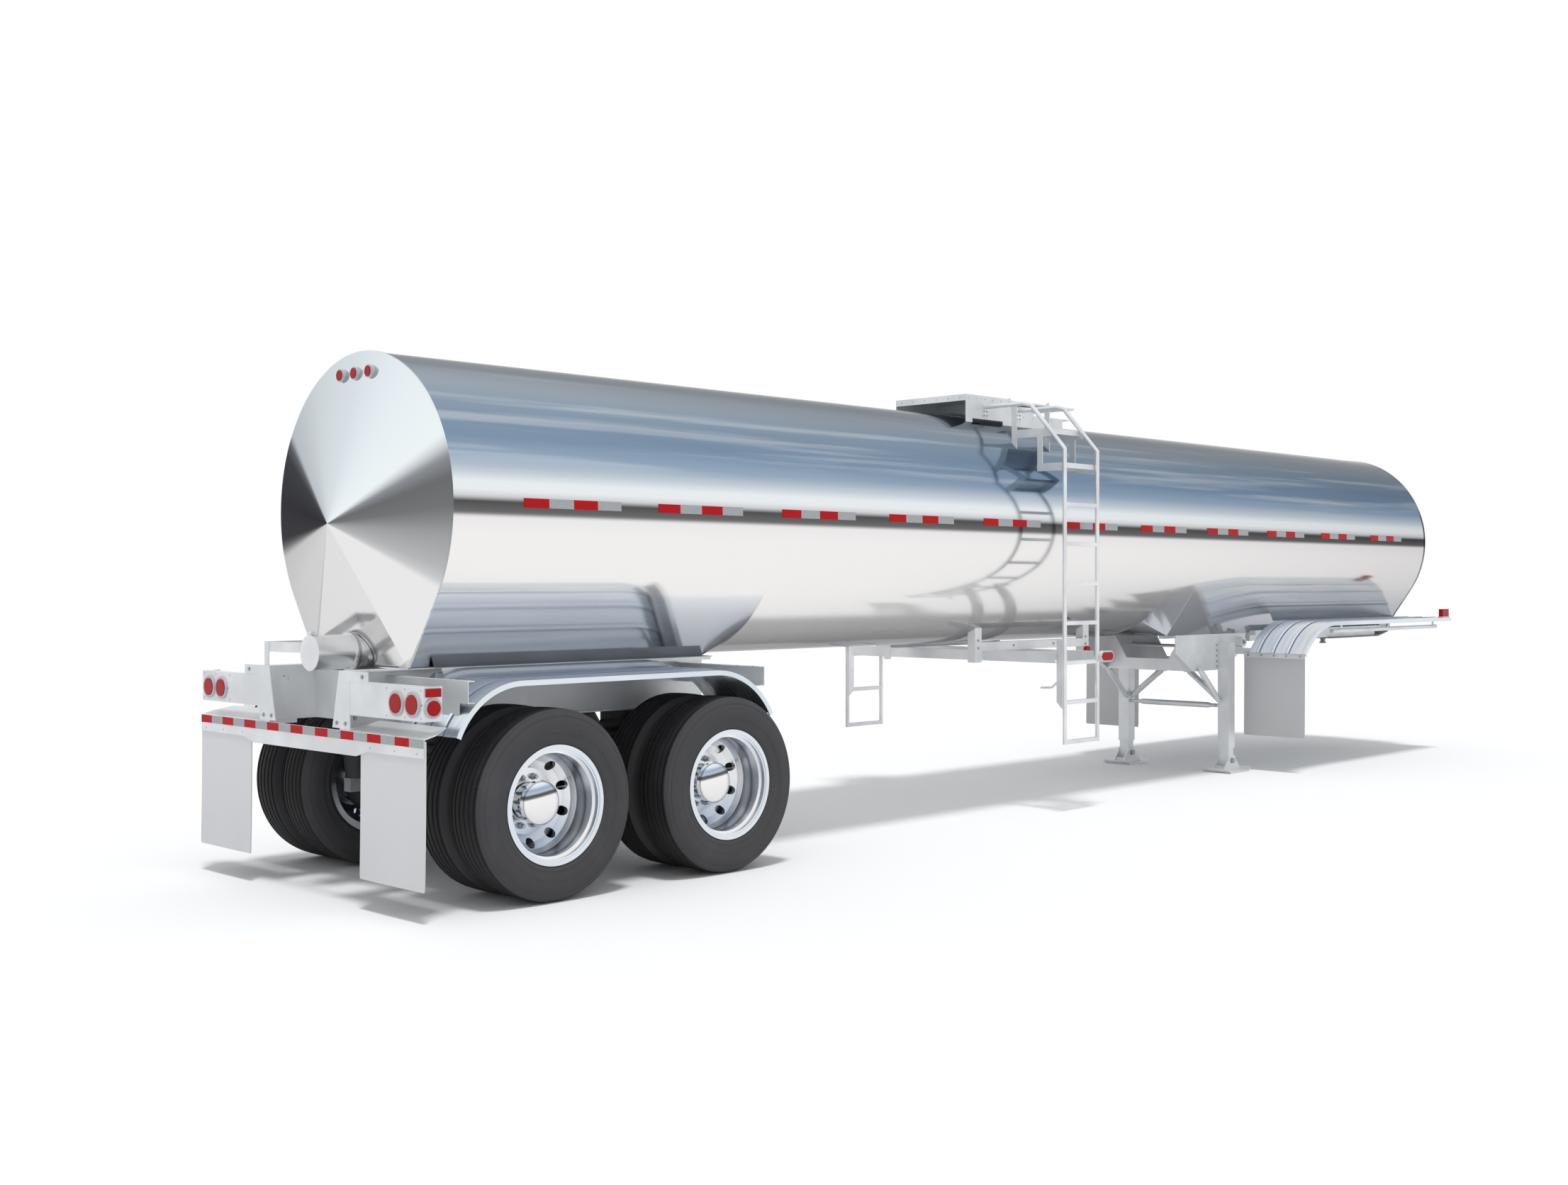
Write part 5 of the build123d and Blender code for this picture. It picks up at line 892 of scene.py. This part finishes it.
# The hub cap's outline: distance from the middle of the pair and radius
HUB_CAP = (
    (0.118, 0.1095), (0.118, 0.1265), (0.121, 0.1280), (0.124, 0.1265), (0.148, 0.1256),
    (0.155, 0.1215), (0.1605, 0.1110), (0.1640, 0.0935), (0.1665, 0.0660), (0.1680, 0.0330),
    (0.1685, 0.0), (0.1580, 0.0), (0.1580, 0.1095),
)
HUB_CAP_RADIUS = 0.127
# Nuts, studs, hub slots and valves: their counts, circles and places from the axle and the pair's middle
NUT_COUNT, NUT_CIRCLE, NUT_OUT, STUD_OUT = 10, 0.1427, 0.0142, 0.0402
SLOT_COUNT, SLOT_CIRCLE, SLOT_OUT = 16, 0.1035, 0.074
VALVE_X, VALVE_Z, VALVE_OUT = 0.205, 0.06, 0.021


def tyre_profile(given):
    """Outline of one tyre: beads, ribbed sidewalls, shoulders and a grooved tread."""
    half, depth = given.groove_width / 2, given.groove_depth
    tread = []
    for y in (OUTER_GROOVE_Y, 0.043, 0.0, -0.043, -OUTER_GROOVE_Y):
        top = TYRE_RADIUS - TREAD_DROP * (y / OUTER_GROOVE_Y) ** 2
        groove = ((half + 0.001, top), (half, top - 0.001), (half - 0.0015, top - depth))
        tread.extend((y + out, radius) for out, radius in groove)
        tread.extend((y - out, radius) for out, radius in reversed(groove))
    return [*TYRE_WALL, *tread, *((-out, radius) for out, radius in reversed(TYRE_WALL))]


def round_axle(row, way, count, circle, out, start=0.0, aim=None):
    """Places on a circle about an axle, out from the middle of the pair, aimed from the axle or one way."""
    centre = Vector((AXLES[row], way * (DUAL_Y + out), AXLE_Z))
    first, quarter = Vector((cos(start), 0, sin(start))), Vector((-sin(start), 0, cos(start)))
    return [(centre + spoke * circle, aim or spoke) for spoke in oval(Vector(), first, quarter, count)]


class TRAILER_OT_tyres(Maker):
    """Eight tyres with grooved treads and ribbed sidewalls"""

    bl_idname = "trailer.tyres"
    bl_label = "Tyres"

    def make(self, given):
        profile = tyre_profile(given)
        for row, side, way in WHEELSETS:
            centres = [(AXLES[row], way * (DUAL_Y + s), AXLE_Z) for s in (TYRE_SHIFT, -TYRE_SHIFT)]
            parts = join_parts([turned_parts(profile, centre, "Y", 112) for centre in centres])
            paint = material(f"tyre_rubber_{row}", tyre_rubber, (AXLES[row], 0, AXLE_Z))
            body, nodes = f"wheelset_{row}_{side}", (f"tyres_{row}_{side}",)
            build(f"tyre_pair_{row}_{side}", parts, "tyre_rubber", paint, body, nodes, crease=40)


class TRAILER_OT_wheels(Maker):
    """Polished wheels and hubs with their nuts, caps and valves"""

    bl_idname = "trailer.wheels"
    bl_label = "Wheels and hubs"

    def make(self, given):
        for row, side, way in WHEELSETS:
            centre = (AXLES[row], 0, AXLE_Z)
            pair = f"{row}_{side}"
            hub = {"finish_slot": "hub_iron", "body": "wheelset_" + pair}
            dress("wheels_" + pair, material(f"wheel_alloy_{row}", wheel_alloy, centre))
            dress("hub_" + pair, material(f"hub_metal_{row}", hub_metal, centre))
            nuts = round_axle(row, way, NUT_COUNT, NUT_CIRCLE, NUT_OUT, aim=(0, way, 0))
            scatter("wheel_nuts_" + pair, nuts, "bolt", (0.0175, 0.0205, 0.026), **hub)
            studs = round_axle(row, way, NUT_COUNT, NUT_CIRCLE, STUD_OUT, aim=(0, way, 0))
            scatter("wheel_studs_" + pair, studs, "rod", (0.0105, 0.0105, 0.012), 12, **hub)
            slots = round_axle(row, way, SLOT_COUNT, SLOT_CIRCLE, SLOT_OUT, pi / SLOT_COUNT)
            size = (0.0095, 0.0095, 0.003)
            scatter("hub_slots_" + pair, slots, "dome", size, 14, material("slot_shadow"), **hub)
            dome = [(way * out, radius) for out, radius in HUB_CAP]
            parts = turned_parts(dome, (AXLES[row], way * DUAL_Y, AXLE_Z), "Y", 64)
            chrome = material(f"cap_chrome_{row}", cap_chrome, centre, HUB_CAP_RADIUS)
            build("hub_cap_" + pair, parts, "polished_aluminium", chrome, hub["body"], crease=50)
            foot = Vector((AXLES[row] + VALVE_X, way * (DUAL_Y + VALVE_OUT), AXLE_Z + VALVE_Z))
            tip = foot + Vector((0.006, way * 0.07, 0.012))
            end = tip + Vector((0, way * 0.014, 0))
            stem = join_parts([tube_parts([foot, tip], 0.0042, 10), tube_parts([tip, end], 0.0058, 10)])
            build("valve_stem_" + pair, stem, paint=material("bright_fastener"), **hub)


# Places of an air spring and a brake chamber: ahead of an axle, to the side and, for the chamber, up
SPRING_X, SPRING_Y = -0.26, 0.44
CHAMBER_X, CHAMBER_Y, CHAMBER_RISE = 0.086, 0.33, 0.112
# Outline of a brake chamber: place along its axis and radius
BRAKE_CHAMBER = (
    (-0.02, 0.0), (-0.02, 0.018), (0.0, 0.018), (0.0, 0.066), (0.006, 0.074), (0.055, 0.076),
    (0.058, 0.084), (0.068, 0.084), (0.071, 0.076), (0.118, 0.076), (0.121, 0.084), (0.131, 0.084),
    (0.134, 0.075), (0.18, 0.068), (0.19, 0.05), (0.19, 0.0),
)
# Brackets of a chamber, from an axle: back and front, half the width and the top, and the foot they share
BRACKETS = ((-0.03, 0.09, 0.045, 0.066), (0.078, 0.087, 0.06, 0.18))
BRACKET_FOOT = 0.05


def bellows_profile(height):
    """Outline of an air spring: a foot, three folds and a top plate."""
    profile = [(0.0, 0.0), (0.0, 0.070), (0.09, 0.082), (0.13, 0.084)]
    for k in range(3):
        fold = ((0.0, 0.094), (0.014, 0.118), (0.031, 0.125), (0.048, 0.118), (0.060, 0.094))
        profile.extend((0.15 + k * 0.062 + rise, radius) for rise, radius in fold)
    return profile + [(height - 0.014, 0.098), (height, 0.100), (height, 0.0)]


class TRAILER_OT_suspension(Maker):
    """Axles, trailing arms, ribbed air springs and brake chambers"""

    bl_idname = "trailer.suspension"
    bl_label = "Suspension"

    def make(self, given):
        paint = material("chassis_paint")
        dress("axles suspension", paint)
        low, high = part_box("air_springs")
        profile = bellows_profile(high.z - low.z)
        bellows, chambers, straps = [], [], []
        for x in AXLES.values():
            for _, way in SIDES:
                y = way * CHAMBER_Y
                bellows.append(turned_parts(profile, (x + SPRING_X, way * SPRING_Y, low.z), "Z", 40))
                place_of_can = (x + CHAMBER_X, y, AXLE_Z + CHAMBER_RISE)
                chambers.append(turned_parts(BRAKE_CHAMBER, place_of_can, "X", 32))
                for back, front, half, top in BRACKETS:
                    low_corner = (x + back, y - half, AXLE_Z + BRACKET_FOOT)
                    straps.append(box_parts(low_corner, (x + front, y + half, AXLE_Z + top)))
        fabric = material("bellows_rubber")
        bags = ("air_springs",)
        build("air_bellows", join_parts(bellows), "bellows_rubber", fabric, nodes=bags, crease=50)
        build("brake_chambers", join_parts(chambers), "painted_steel", paint)
        build("chamber_brackets", join_parts(straps), "painted_steel", paint)


# Rear end

RAIL_SIDE_Y, END_PLATE_X = 0.3932, -0.881
# Bolts on a rail's side, ahead of the rear axle and above the ground, and on its end plate, sideways and up
RAIL_BOLTS = (
    (-0.842, 1.232), (-0.842, 1.022), (-0.785, 1.232), (-0.785, 1.022), (-0.535, 1.235), (0.1, 1.235),
    (0.75, 1.235), (1.4, 1.235),
)
END_PLATE_BOLTS = ((0.36, 1.0), (0.45, 1.0), (0.62, 1.262))


class TRAILER_OT_rear_frame(Maker):
    """Rear rails, bumper and lamp panels with their bolts and rivets"""

    bl_idname = "trailer.rear_frame"
    bl_label = "Rear frame"

    def make(self, given):
        dress("frame_rails bumper lamp_panels cap_hoop fender_brackets", material("satin_plate"))
        panel_x, bumper_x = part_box("lamp_panels")[0].x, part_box("bumper")[0].x
        bolts = [((at(x), RAIL_SIDE_Y, z), LEFT) for x, z in RAIL_BOLTS]
        bolts += [((at(END_PLATE_X), y, z), REARWARD) for y, z in END_PLATE_BOLTS]
        rivets = [((panel_x, y, z), REARWARD) for y in (0.86, 1.034, 1.182) for z in (1.068, 1.214)]
        rivets += [((at(x), y, 1.2505), UP) for x in (-0.5395, 1.6005) for y in (0.66, 0.82, 0.98, 1.12)]
        rivets += [((bumper_x, y, 0.884), REARWARD) for y in (0.70, 0.94, 1.15)]
        scatter("frame_bolts", both_sides(bolts), "bolt", (0.0095, 0.013, 0.008))
        scatter("frame_rivets", both_sides(rivets), "dome", (0.0055, 0.0055, 0.0028), 12)


# The outlet's height, its clamp's place ahead of the rear axle and the ring's outline, along and out
OUTLET_Z, CLAMP_X = 1.373, -0.5775
CLAMP_RING = ((-0.008, 0.1125), (-0.008, 0.1165), (0.008, 0.1165), (0.008, 0.1125))


class TRAILER_OT_outlet(Maker):
    """Outlet can, its cap and the clamp round its beads"""

    bl_idname = "trailer.outlet"
    bl_label = "Outlet"

    def make(self, given):
        dress("outlet_can", material("can_sheet"))
        dress("outlet_cap", material("cap_face"))
        x = at(CLAMP_X)
        lug = box_parts((x - 0.012, -0.012, OUTLET_Z - 0.142), (x + 0.012, 0.012, OUTLET_Z - 0.1135))
        parts = join_parts([turned_parts(CLAMP_RING, (x, 0, OUTLET_Z), "X", 64), lug])
        build("outlet_clamp", parts, "sheet_stainless", material("bright_fastener"))
        bolt = both_sides([((x, 0.012, OUTLET_Z - 0.13), LEFT)])
        scatter("clamp_bolt", bolt, "bolt", (0.007, 0.0085, 0.01), finish_slot="sheet_stainless")


class TRAILER_OT_lamps(Maker):
    """Red lenses with their rings, housings and screws"""

    bl_idname = "trailer.lamps"
    bl_label = "Lamps"

    def make(self, given):
        dress("lamp_lenses", material("red_lens", lens, tuple(given.lens_red)))
        dress("lamp_bezels", material("lamp_ring"))
        dress("marker_housings", material("marker_body"))
        panel_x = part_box("lamp_panels")[0].x
        low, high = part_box("marker_housings")
        screws = [((panel_x, y, 1.137), REARWARD) for y in (0.8805, 1.034, 1.188)]
        screws += [((x, high.y, (low.z + high.z) / 2), LEFT) for x in (low.x + 0.010, high.x - 0.010)]
        size = (0.0045, 0.0045, 0.002)
        scatter("lamp_screws", both_sides(screws), "dome", size, 10, material("slot_shadow"))


# The radius of a flap's lower corners, how far its middle bows, and each pair's inner and outer edge
FLAP_CORNER, FLAP_BELLY = 0.004, 0.003
FLAPS = {"rear_flaps": (0.600, 1.219), "front_flaps": (0.579, 1.193)}


def flap_sheet(low, high, bow, across=24, down=30):
    """A sheet between two corners, bowed towards the rear at its foot, with rounded lower corners."""
    verts, faces = [], []
    for face_x in (low.x, high.x):
        for j in range(down + 1):
            fall = j / down
            z = high.z - (high.z - low.z) * fall
            inset = 0.0
            if z < low.z + FLAP_CORNER:
                inset = FLAP_CORNER - sqrt(max(FLAP_CORNER**2 - (low.z + FLAP_CORNER - z) ** 2, 0))
            for i in range(across + 1):
                share = i / across
                y = low.y + inset + (high.y - low.y - 2 * inset) * share
                sag = bow * fall**2 + FLAP_BELLY * sin(pi * share) * fall
                verts.append(Vector((face_x - sag, y, z)))
    row, count = across + 1, len(verts) // 2
    for j in range(down):
        for i in range(across):
            a, b, c, d = j * row + i, j * row + i + 1, (j + 1) * row + i + 1, (j + 1) * row + i
            faces.append((a, b, c, d))
            faces.append((count + a, count + d, count + c, count + b))
    rim = list(range(row)) + [j * row + across for j in range(1, down + 1)]
    rim += [down * row + i for i in range(across - 1, -1, -1)] + [j * row for j in range(down - 1, 0, -1)]
    for corner, following in zip(rim, rim[1:] + rim[:1]):
        faces.append((corner, count + corner, count + following, following))
    return verts, faces


class TRAILER_OT_flaps(Maker):
    """Hanging flaps behind both pairs of fenders, with their clamp strips"""

    bl_idname = "trailer.flaps"
    bl_label = "Flaps"

    def make(self, given):
        dress("flap_hangers", material("satin_plate"))
        for node, (inner, outer) in FLAPS.items():
            low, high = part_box(node)
            sheets = []
            for y0, y1 in ((inner, outer), (-outer, -inner)):
                corners = Vector((low.x, y0, low.z)), Vector((high.x, y1, high.z))
                sheets.append(flap_sheet(*corners, given.flap_bow))
            paint = material("flap_" + node)
            build("hanging_" + node, join_parts(sheets), "flap_rubber", paint, nodes=(node,), crease=50)
        strip_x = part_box("flap_hangers")[0].x
        bolts = [((strip_x, y, 1.0855), REARWARD) for y in (0.62, 0.76, 0.886, 1.01, 1.15)]
        scatter("flap_bolts", both_sides(bolts), "bolt", (0.008, 0.011, 0.006))


# The inner sheet of a rear fender: how far it droops at places ahead of the rear axle, and its section's
# distances to the side and heights
SHEET_DROOPS = (
    (-0.43, 0.10), (-0.39, 0.07), (-0.345, 0.03), (-0.325, 0.02), (-0.24, 0.004), (-0.16, 0.0),
    (1.19, 0.0), (1.28, 0.008), (1.36, 0.035), (1.45, 0.10),
)
SHEET_CLIMB = (
    (0.582, 1.2865), (0.606, 1.2800), (0.622, 1.2795), (0.638, 1.2740), (0.652, 1.2620), (0.712, 1.2460)
)
SHEET_LEVEL, SHEET_WALL, FULL_DROOP = 1.2425, 0.003, 0.10
# Its inner edge: height, and distance to the side behind and ahead of the ledge's end
EDGE_Z, EDGE_BEHIND, EDGE_AHEAD, LEDGE_END_X = 1.2875, 0.499, 0.5665, -0.33


def inner_sheet_parts(way):
    """The sheet that climbs from a rear fender to the ledge of the rail and closes the ledge's rear end."""
    verts, faces = [], []
    for x, droop in SHEET_DROOPS:
        inner = EDGE_BEHIND if x < LEDGE_END_X else EDGE_AHEAD
        for lift in (0.0, -SHEET_WALL):
            for y, z in ((inner, EDGE_Z), *SHEET_CLIMB):
                level = SHEET_LEVEL + (z - SHEET_LEVEL) * (1.0 - droop / FULL_DROOP)
                verts.append(Vector((at(x), way * y, level - droop * 0.55 + lift)))
    count = len(SHEET_CLIMB) + 1
    for k in range(len(SHEET_DROOPS) - 1):
        here, there = k * 2 * count, (k + 1) * 2 * count
        for n in range(count - 1):
            faces.append((here + n, here + n + 1, there + n + 1, there + n))
            faces.append((here + count + n, there + count + n, there + count + n + 1, here + count + n + 1))
        faces.append((here, there, there + count, here + count))
        faces.append((here + count - 1, here + 2 * count - 1, there + 2 * count - 1, there + count - 1))
    for start in (0, len(verts) - 2 * count):
        for n in range(count - 1):
            faces.append((start + n, start + count + n, start + count + n + 1, start + n + 1))
    return verts, faces


class TRAILER_OT_fenders(Maker):
    """Rolled fenders over both axles and at the nose"""

    bl_idname = "trailer.fenders"
    bl_label = "Fenders"

    def make(self, given):
        paint = material("rolled_fender")
        dress("fender_rear_left fender_rear_right fender_front_left fender_front_right", paint)
        dress("nose_tubes", material("satin_plate"))
        parts = join_parts([inner_sheet_parts(way) for _, way in SIDES])
        build("fender_inner_sheets", parts, "sheet_stainless", paint, crease=40)


# Ladders and top

# Rungs above the ground, and a ladder's posts ahead of the rear axle
FIRST_RUNG_Z, RUNG_PITCH, RUNG_RADIUS = 0.544, 0.3048, 0.015
LADDER_XS = (4.969, 5.410)
# Steps: the distance to the side of the first row of buttons, the number of rows and the height
STEP_TREADS = ((0.700, 9, 2.970), (0.945, 6, 2.696))
# Bolts of the belly frame, ahead of the rear axle and above the ground
BELLY_BOLTS = (
    (4.735, 1.315), (4.735, 1.255), (6.218, 1.315), (6.218, 1.255), (5.2, 1.2665), (5.75, 1.2665)
)
# The manhole's gasket: height from the top of the neck and radius
GASKET = ((-0.006, 0.258), (-0.006, 0.268), (0.0, 0.2695), (0.0, 0.2565))


class TRAILER_OT_ladders(Maker):
    """Side ladders, steps and hose hook, with grip ridges and raised buttons"""

    bl_idname = "trailer.ladders"
    bl_label = "Ladders and steps"

    def make(self, given):
        tube, plate = material("ladder_tube"), material("satin_plate")
        dress("ladder_left ladder_right", tube)
        dress("steps_left steps_right hose_hook belly_frame", plate)
        tops = [FIRST_RUNG_Z + RUNG_PITCH * k + RUNG_RADIUS for k in range(7)]
        ridges = [((at(4.99 + 0.016 * n), 1.123, z), UP) for z in tops for n in range(26)]
        buttons = []
        for y0, count, z in STEP_TREADS:
            for row in range(count):
                x = 5.0 + (0.014 if row % 2 else 0.0)
                buttons += [((at(x + 0.028 * n), y0 + 0.027 * row, z), UP) for n in range(14)]
        corners = [(x + s, z) for x in LADDER_XS for s in (-0.018, 0.018) for z in (3.105, 3.138)]
        pad_bolts = [((at(x), 0.367, z), LEFT) for x, z in corners]
        belly_bolts = [((at(x), 0.472, z), LEFT) for x, z in BELLY_BOLTS]
        scatter("rung_ridges", both_sides(ridges), "block", (0.005, 0.026, 0.0014), paint=tube)
        scatter("tread_buttons", both_sides(buttons), "ring", (0.0075, 0.0075, 0.0016), 10, plate)
        scatter("pad_bolts", both_sides(pad_bolts), "bolt", (0.0065, 0.009, 0.005))
        scatter("belly_bolts", both_sides(belly_bolts), "bolt", (0.0085, 0.012, 0.007))


class TRAILER_OT_top_box(Maker):
    """Manhole box, its cover, neck and vent, with rivets and a gasket"""

    bl_idname = "trailer.top_box"
    bl_label = "Top box"

    def make(self, given):
        dress("top_housing manhole_body box_cover", material("satin_plate"))
        dress("manhole_neck vent_dome", material("sheet_steel"))
        low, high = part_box("top_housing")
        rivets = [((low.x + 0.03 + 0.107 * k, high.y, 3.236), LEFT) for k in range(6)]
        rivets += [((at(5.36 + 0.128 * k), high.y, 3.128), LEFT) for k in range(1, 6)]
        rivets = both_sides(rivets) + [((low.x, -0.30 + 0.12 * k, 3.237), REARWARD) for k in range(6)]
        scatter("box_rivets", rivets, "dome", (0.006, 0.006, 0.003), 12)
        top = (middle("manhole_neck").x, 0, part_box("manhole_neck")[1].z)
        parts = turned_parts(GASKET, top, "Z", 72)
        build("manhole_gasket", parts, "bellows_rubber", material("gasket_rubber"))


# Landing gear and nose

# A leg's inner side, the top of its shoe, and the crank ahead of the rear axle and above the ground
LEG_INNER_Y, SHOE_TOP_Z = 0.486, 0.0125
CRANK_X, CRANK_Z = 8.753, 1.205
# The outline of a gusset, ahead of the leg's middle and above the ground
GUSSET = ((0.0535, SHOE_TOP_Z), (0.150, SHOE_TOP_Z), (0.150, 0.026), (0.0535, 0.138))
# A brace from its end inward: distance, half its width and half its thickness
BRACE_END = ((0.0, 0.031, 0.0175), (0.055, 0.031, 0.0175), (0.085, 0.0275, 0.0265))
# Ends of the braces, with their heights: a cross brace to the side, a long brace ahead of the rear axle and
# the bar between the legs
CROSS_BRACE = ((0.150, 0.928), (0.470, 0.669))
LONG_BRACE, LONG_BRACE_Y = ((8.010, 0.976), (8.350, 0.675)), 0.5035
TIE_BAR_Y, TIE_BAR_Z = 0.44, 0.613


def gusset_parts(mid_x, y, run):
    """Sloping plate of a foot, fore or aft of its lug."""
    return loft_parts([[(mid_x + run * x, y + side, z) for x, z in GUSSET] for side in (-0.0055, 0.0055)])


def brace_parts(ends, face):
    """A brace: a round tube whose two ends are flattened against what they are bolted to."""
    first, last, flat = Vector(ends[0]), Vector(ends[1]), Vector(face)
    length = (last - first).length
    along = (last - first).normalized()
    wide = along.cross(flat).normalized()
    places = [*BRACE_END, *((length - out, w, t) for out, w, t in reversed(BRACE_END))]
    return loft_parts([oval(first + along * out, wide * w, flat * t, 18) for out, w, t in places])


class TRAILER_OT_landing_gear(Maker):
    """Legs, feet and braces with their bolts, lugs and crank stub"""

    bl_idname = "trailer.landing_gear"
    bl_label = "Landing gear"

    def make(self, given):
        plate = material("satin_plate")
        dress("gear_frame landing_legs leg_braces leg_feet", plate)
        low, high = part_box("landing_legs")
        mid_x, leg_y = (low.x + high.x) / 2, (LEG_INNER_Y + high.y) / 2
        places = [(low.x - 0.022, z) for z in (0.985, 1.035, 1.085, 1.135, 1.185)]
        places += [(high.x + 0.022, z) for z in (1.145, 1.2)]
        bolts = [((x, LEG_INNER_Y, z), LEFT) for x, z in places]
        pins = [((mid_x, leg_y + aim * 0.0590, 0.105), (0, aim, 0)) for aim in (-1, 1)]
        scatter("gear_bolts", both_sides(bolts), "bolt", (0.008, 0.0115, 0.007))
        scatter("foot_pins", both_sides(pins), "bolt", (0.022, 0.028, 0.024), 20)
        bars, feet = [], []
        for _, way in SIDES:
            y = way * leg_y
            for run in (-1, 1):
                feet += [gusset_parts(mid_x, y + lug, run) for lug in (-0.0535, 0.0535)]
                x0, x1 = sorted((mid_x + run * 0.105, mid_x + run * 0.113))
                feet.append(box_parts((x0, y - 0.0475, SHOE_TOP_Z), (x1, y + 0.0475, 0.060)))
            bars.append(brace_parts([(mid_x, way * side, z) for side, z in CROSS_BRACE], FORWARD))
            bars.append(brace_parts([(at(x), way * LONG_BRACE_Y, z) for x, z in LONG_BRACE], LEFT))
        bars.append(brace_parts([(mid_x, side, TIE_BAR_Z) for side in (-TIE_BAR_Y, TIE_BAR_Y)], UP))
        build("brace_tubes", join_parts(bars), "satin_stainless", plate)
        build("foot_gussets", join_parts(feet), "satin_stainless", plate)
        boss_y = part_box("gear_frame")[0].y
        turned = []
        for start, end, radius, sides in ((0.004, -0.022, 0.0145, 20), (0.002, -0.006, 0.03, 28)):
            line = [(at(CRANK_X), boss_y + y, CRANK_Z) for y in (start, end)]
            turned.append(tube_parts(line, radius, sides))
        build("crank_stub", join_parts(turned), "coupler_steel", material("bright_fastener"))


class TRAILER_OT_nose(Maker):
    """Coupler plate, kingpin and nose rails with their plug welds"""

    bl_idname = "trailer.nose"
    bl_label = "Nose"

    def make(self, given):
        dress("nose_rails", material("satin_plate"))
        steel = material("coupler_plate")
        dress("upper_coupler", steel)
        dress("kingpin", material("kingpin_steel"))
        plugs = [((at(10.66 + 0.24 * k), y, 1.195), DOWN) for k in range(4) for y in (0.3, 0.47)]
        size = (0.014, 0.014, 0.0016)
        scatter("coupler_plugs", both_sides(plugs), "dome", size, 14, steel, "coupler_steel")


# Stage

# Half the floor's side and its height, and the camera's place, heading and roll
FLOOR_HALF, FLOOR_Z = 150.0, -0.001
CAMERA_PLACE = (-11.40885, -8.559, 1.772)
CAMERA_HEADING, CAMERA_ROLL = radians(44.762), radians(-0.028)


class TRAILER_OT_stage(Maker):
    """Floor, pale surroundings, overhead lamp and camera"""

    bl_idname = "trailer.stage"
    bl_label = "Stage"

    def make(self, given):
        scene = bpy.context.scene
        floor = Paint("studio_floor")
        plain = given.floor_shade
        shade = floor.mix(floor.seen(), (plain, plain, plain, 1), (0.985, 0.987, 0.99, 1))
        floor.finish(Base_Color=shade, Roughness=0.9 + floor.noise(0.8) * 0.004, Specular_IOR_Level=0.0)
        mesh = bpy.data.meshes.new("studio_floor")
        signs = ((-1, -1), (1, -1), (1, 1), (-1, 1))
        corners = [(x * FLOOR_HALF, y * FLOOR_HALF, FLOOR_Z) for x, y in signs]
        mesh.from_pydata(corners, [], [(0, 1, 2, 3)])
        mesh.materials.append(floor.material)
        mesh_object("studio_floor", mesh)

        world = bpy.data.worlds.new("studio_air")
        scene.world = world
        world.use_nodes = True
        air = Graph(world.node_tree)
        air.tree.nodes.clear()
        soft = {"Color": (0.97, 0.985, 1.0, 1), "Strength": given.air_power}
        soft = air.out("ShaderNodeBackground", soft)
        white = air.out("ShaderNodeBackground", {"Color": (1, 1, 1, 1), "Strength": 1.0})
        blend = air.out("ShaderNodeMixShader", {0: air.seen(), 1: soft, 2: white})
        air.add("ShaderNodeOutputWorld", {"Surface": blend})

        lamp = bpy.data.lights.new("overhead", "SUN")
        lamp.energy = given.lamp_power
        lamp.angle = radians(9)
        lamp_object = bpy.data.objects.new("overhead", lamp)
        lamp_object.rotation_euler = Vector((0.15, 0.20, -1.0)).to_track_quat("-Z", "Y").to_euler()
        lamp_object.visible_glossy = False
        scene.collection.objects.link(lamp_object)

        optics = bpy.data.cameras.new("viewpoint")
        optics.sensor_width = 36.0
        optics.lens = 38.46
        optics.shift_x = 0.01065
        optics.shift_y = -0.00631
        optics.clip_end = 500.0
        optics.dof.use_dof = False
        camera = bpy.data.objects.new("viewpoint", optics)
        level = Matrix.Rotation(CAMERA_HEADING - pi / 2, 4, "Z") @ Matrix.Rotation(pi / 2, 4, "X")
        aim = level @ Matrix.Rotation(CAMERA_ROLL, 4, "Z")
        camera.matrix_world = Matrix.Translation(CAMERA_PLACE) @ aim
        scene.collection.objects.link(camera)
        scene.camera = camera
        scene.view_settings.view_transform = "Standard"


STEPS = (
    TRAILER_OT_tank,
    TRAILER_OT_tape,
    TRAILER_OT_tyres,
    TRAILER_OT_wheels,
    TRAILER_OT_suspension,
    TRAILER_OT_rear_frame,
    TRAILER_OT_outlet,
    TRAILER_OT_lamps,
    TRAILER_OT_flaps,
    TRAILER_OT_fenders,
    TRAILER_OT_ladders,
    TRAILER_OT_top_box,
    TRAILER_OT_landing_gear,
    TRAILER_OT_nose,
    TRAILER_OT_stage,
)


class TRAILER_PT_panel(bpy.types.Panel):
    """Lists the pieces of the trailer"""

    bl_label = "Trailer"
    bl_idname = "TRAILER_PT_panel"
    bl_space_type = "VIEW_3D"
    bl_region_type = "UI"
    bl_category = "Trailer"

    def draw(self, context):
        given = context.scene.trailer_looks
        for name in given.bl_rna.properties.keys():
            if name not in ("rna_type", "name"):
                self.layout.prop(given, name)
        for step in STEPS:
            self.layout.operator(step.bl_idname)


def register():
    for kind in (TrailerLooks, *STEPS, TRAILER_PT_panel):
        bpy.utils.register_class(kind)
    bpy.types.Scene.trailer_looks = bpy.props.PointerProperty(type=TrailerLooks)


def unregister():
    del bpy.types.Scene.trailer_looks
    for kind in reversed((TrailerLooks, *STEPS, TRAILER_PT_panel)):
        bpy.utils.unregister_class(kind)


def main():
    register()
    for step in STEPS:
        group, name = step.bl_idname.split(".")
        getattr(getattr(bpy.ops, group), name)()


if __name__ == "__main__":
    main()
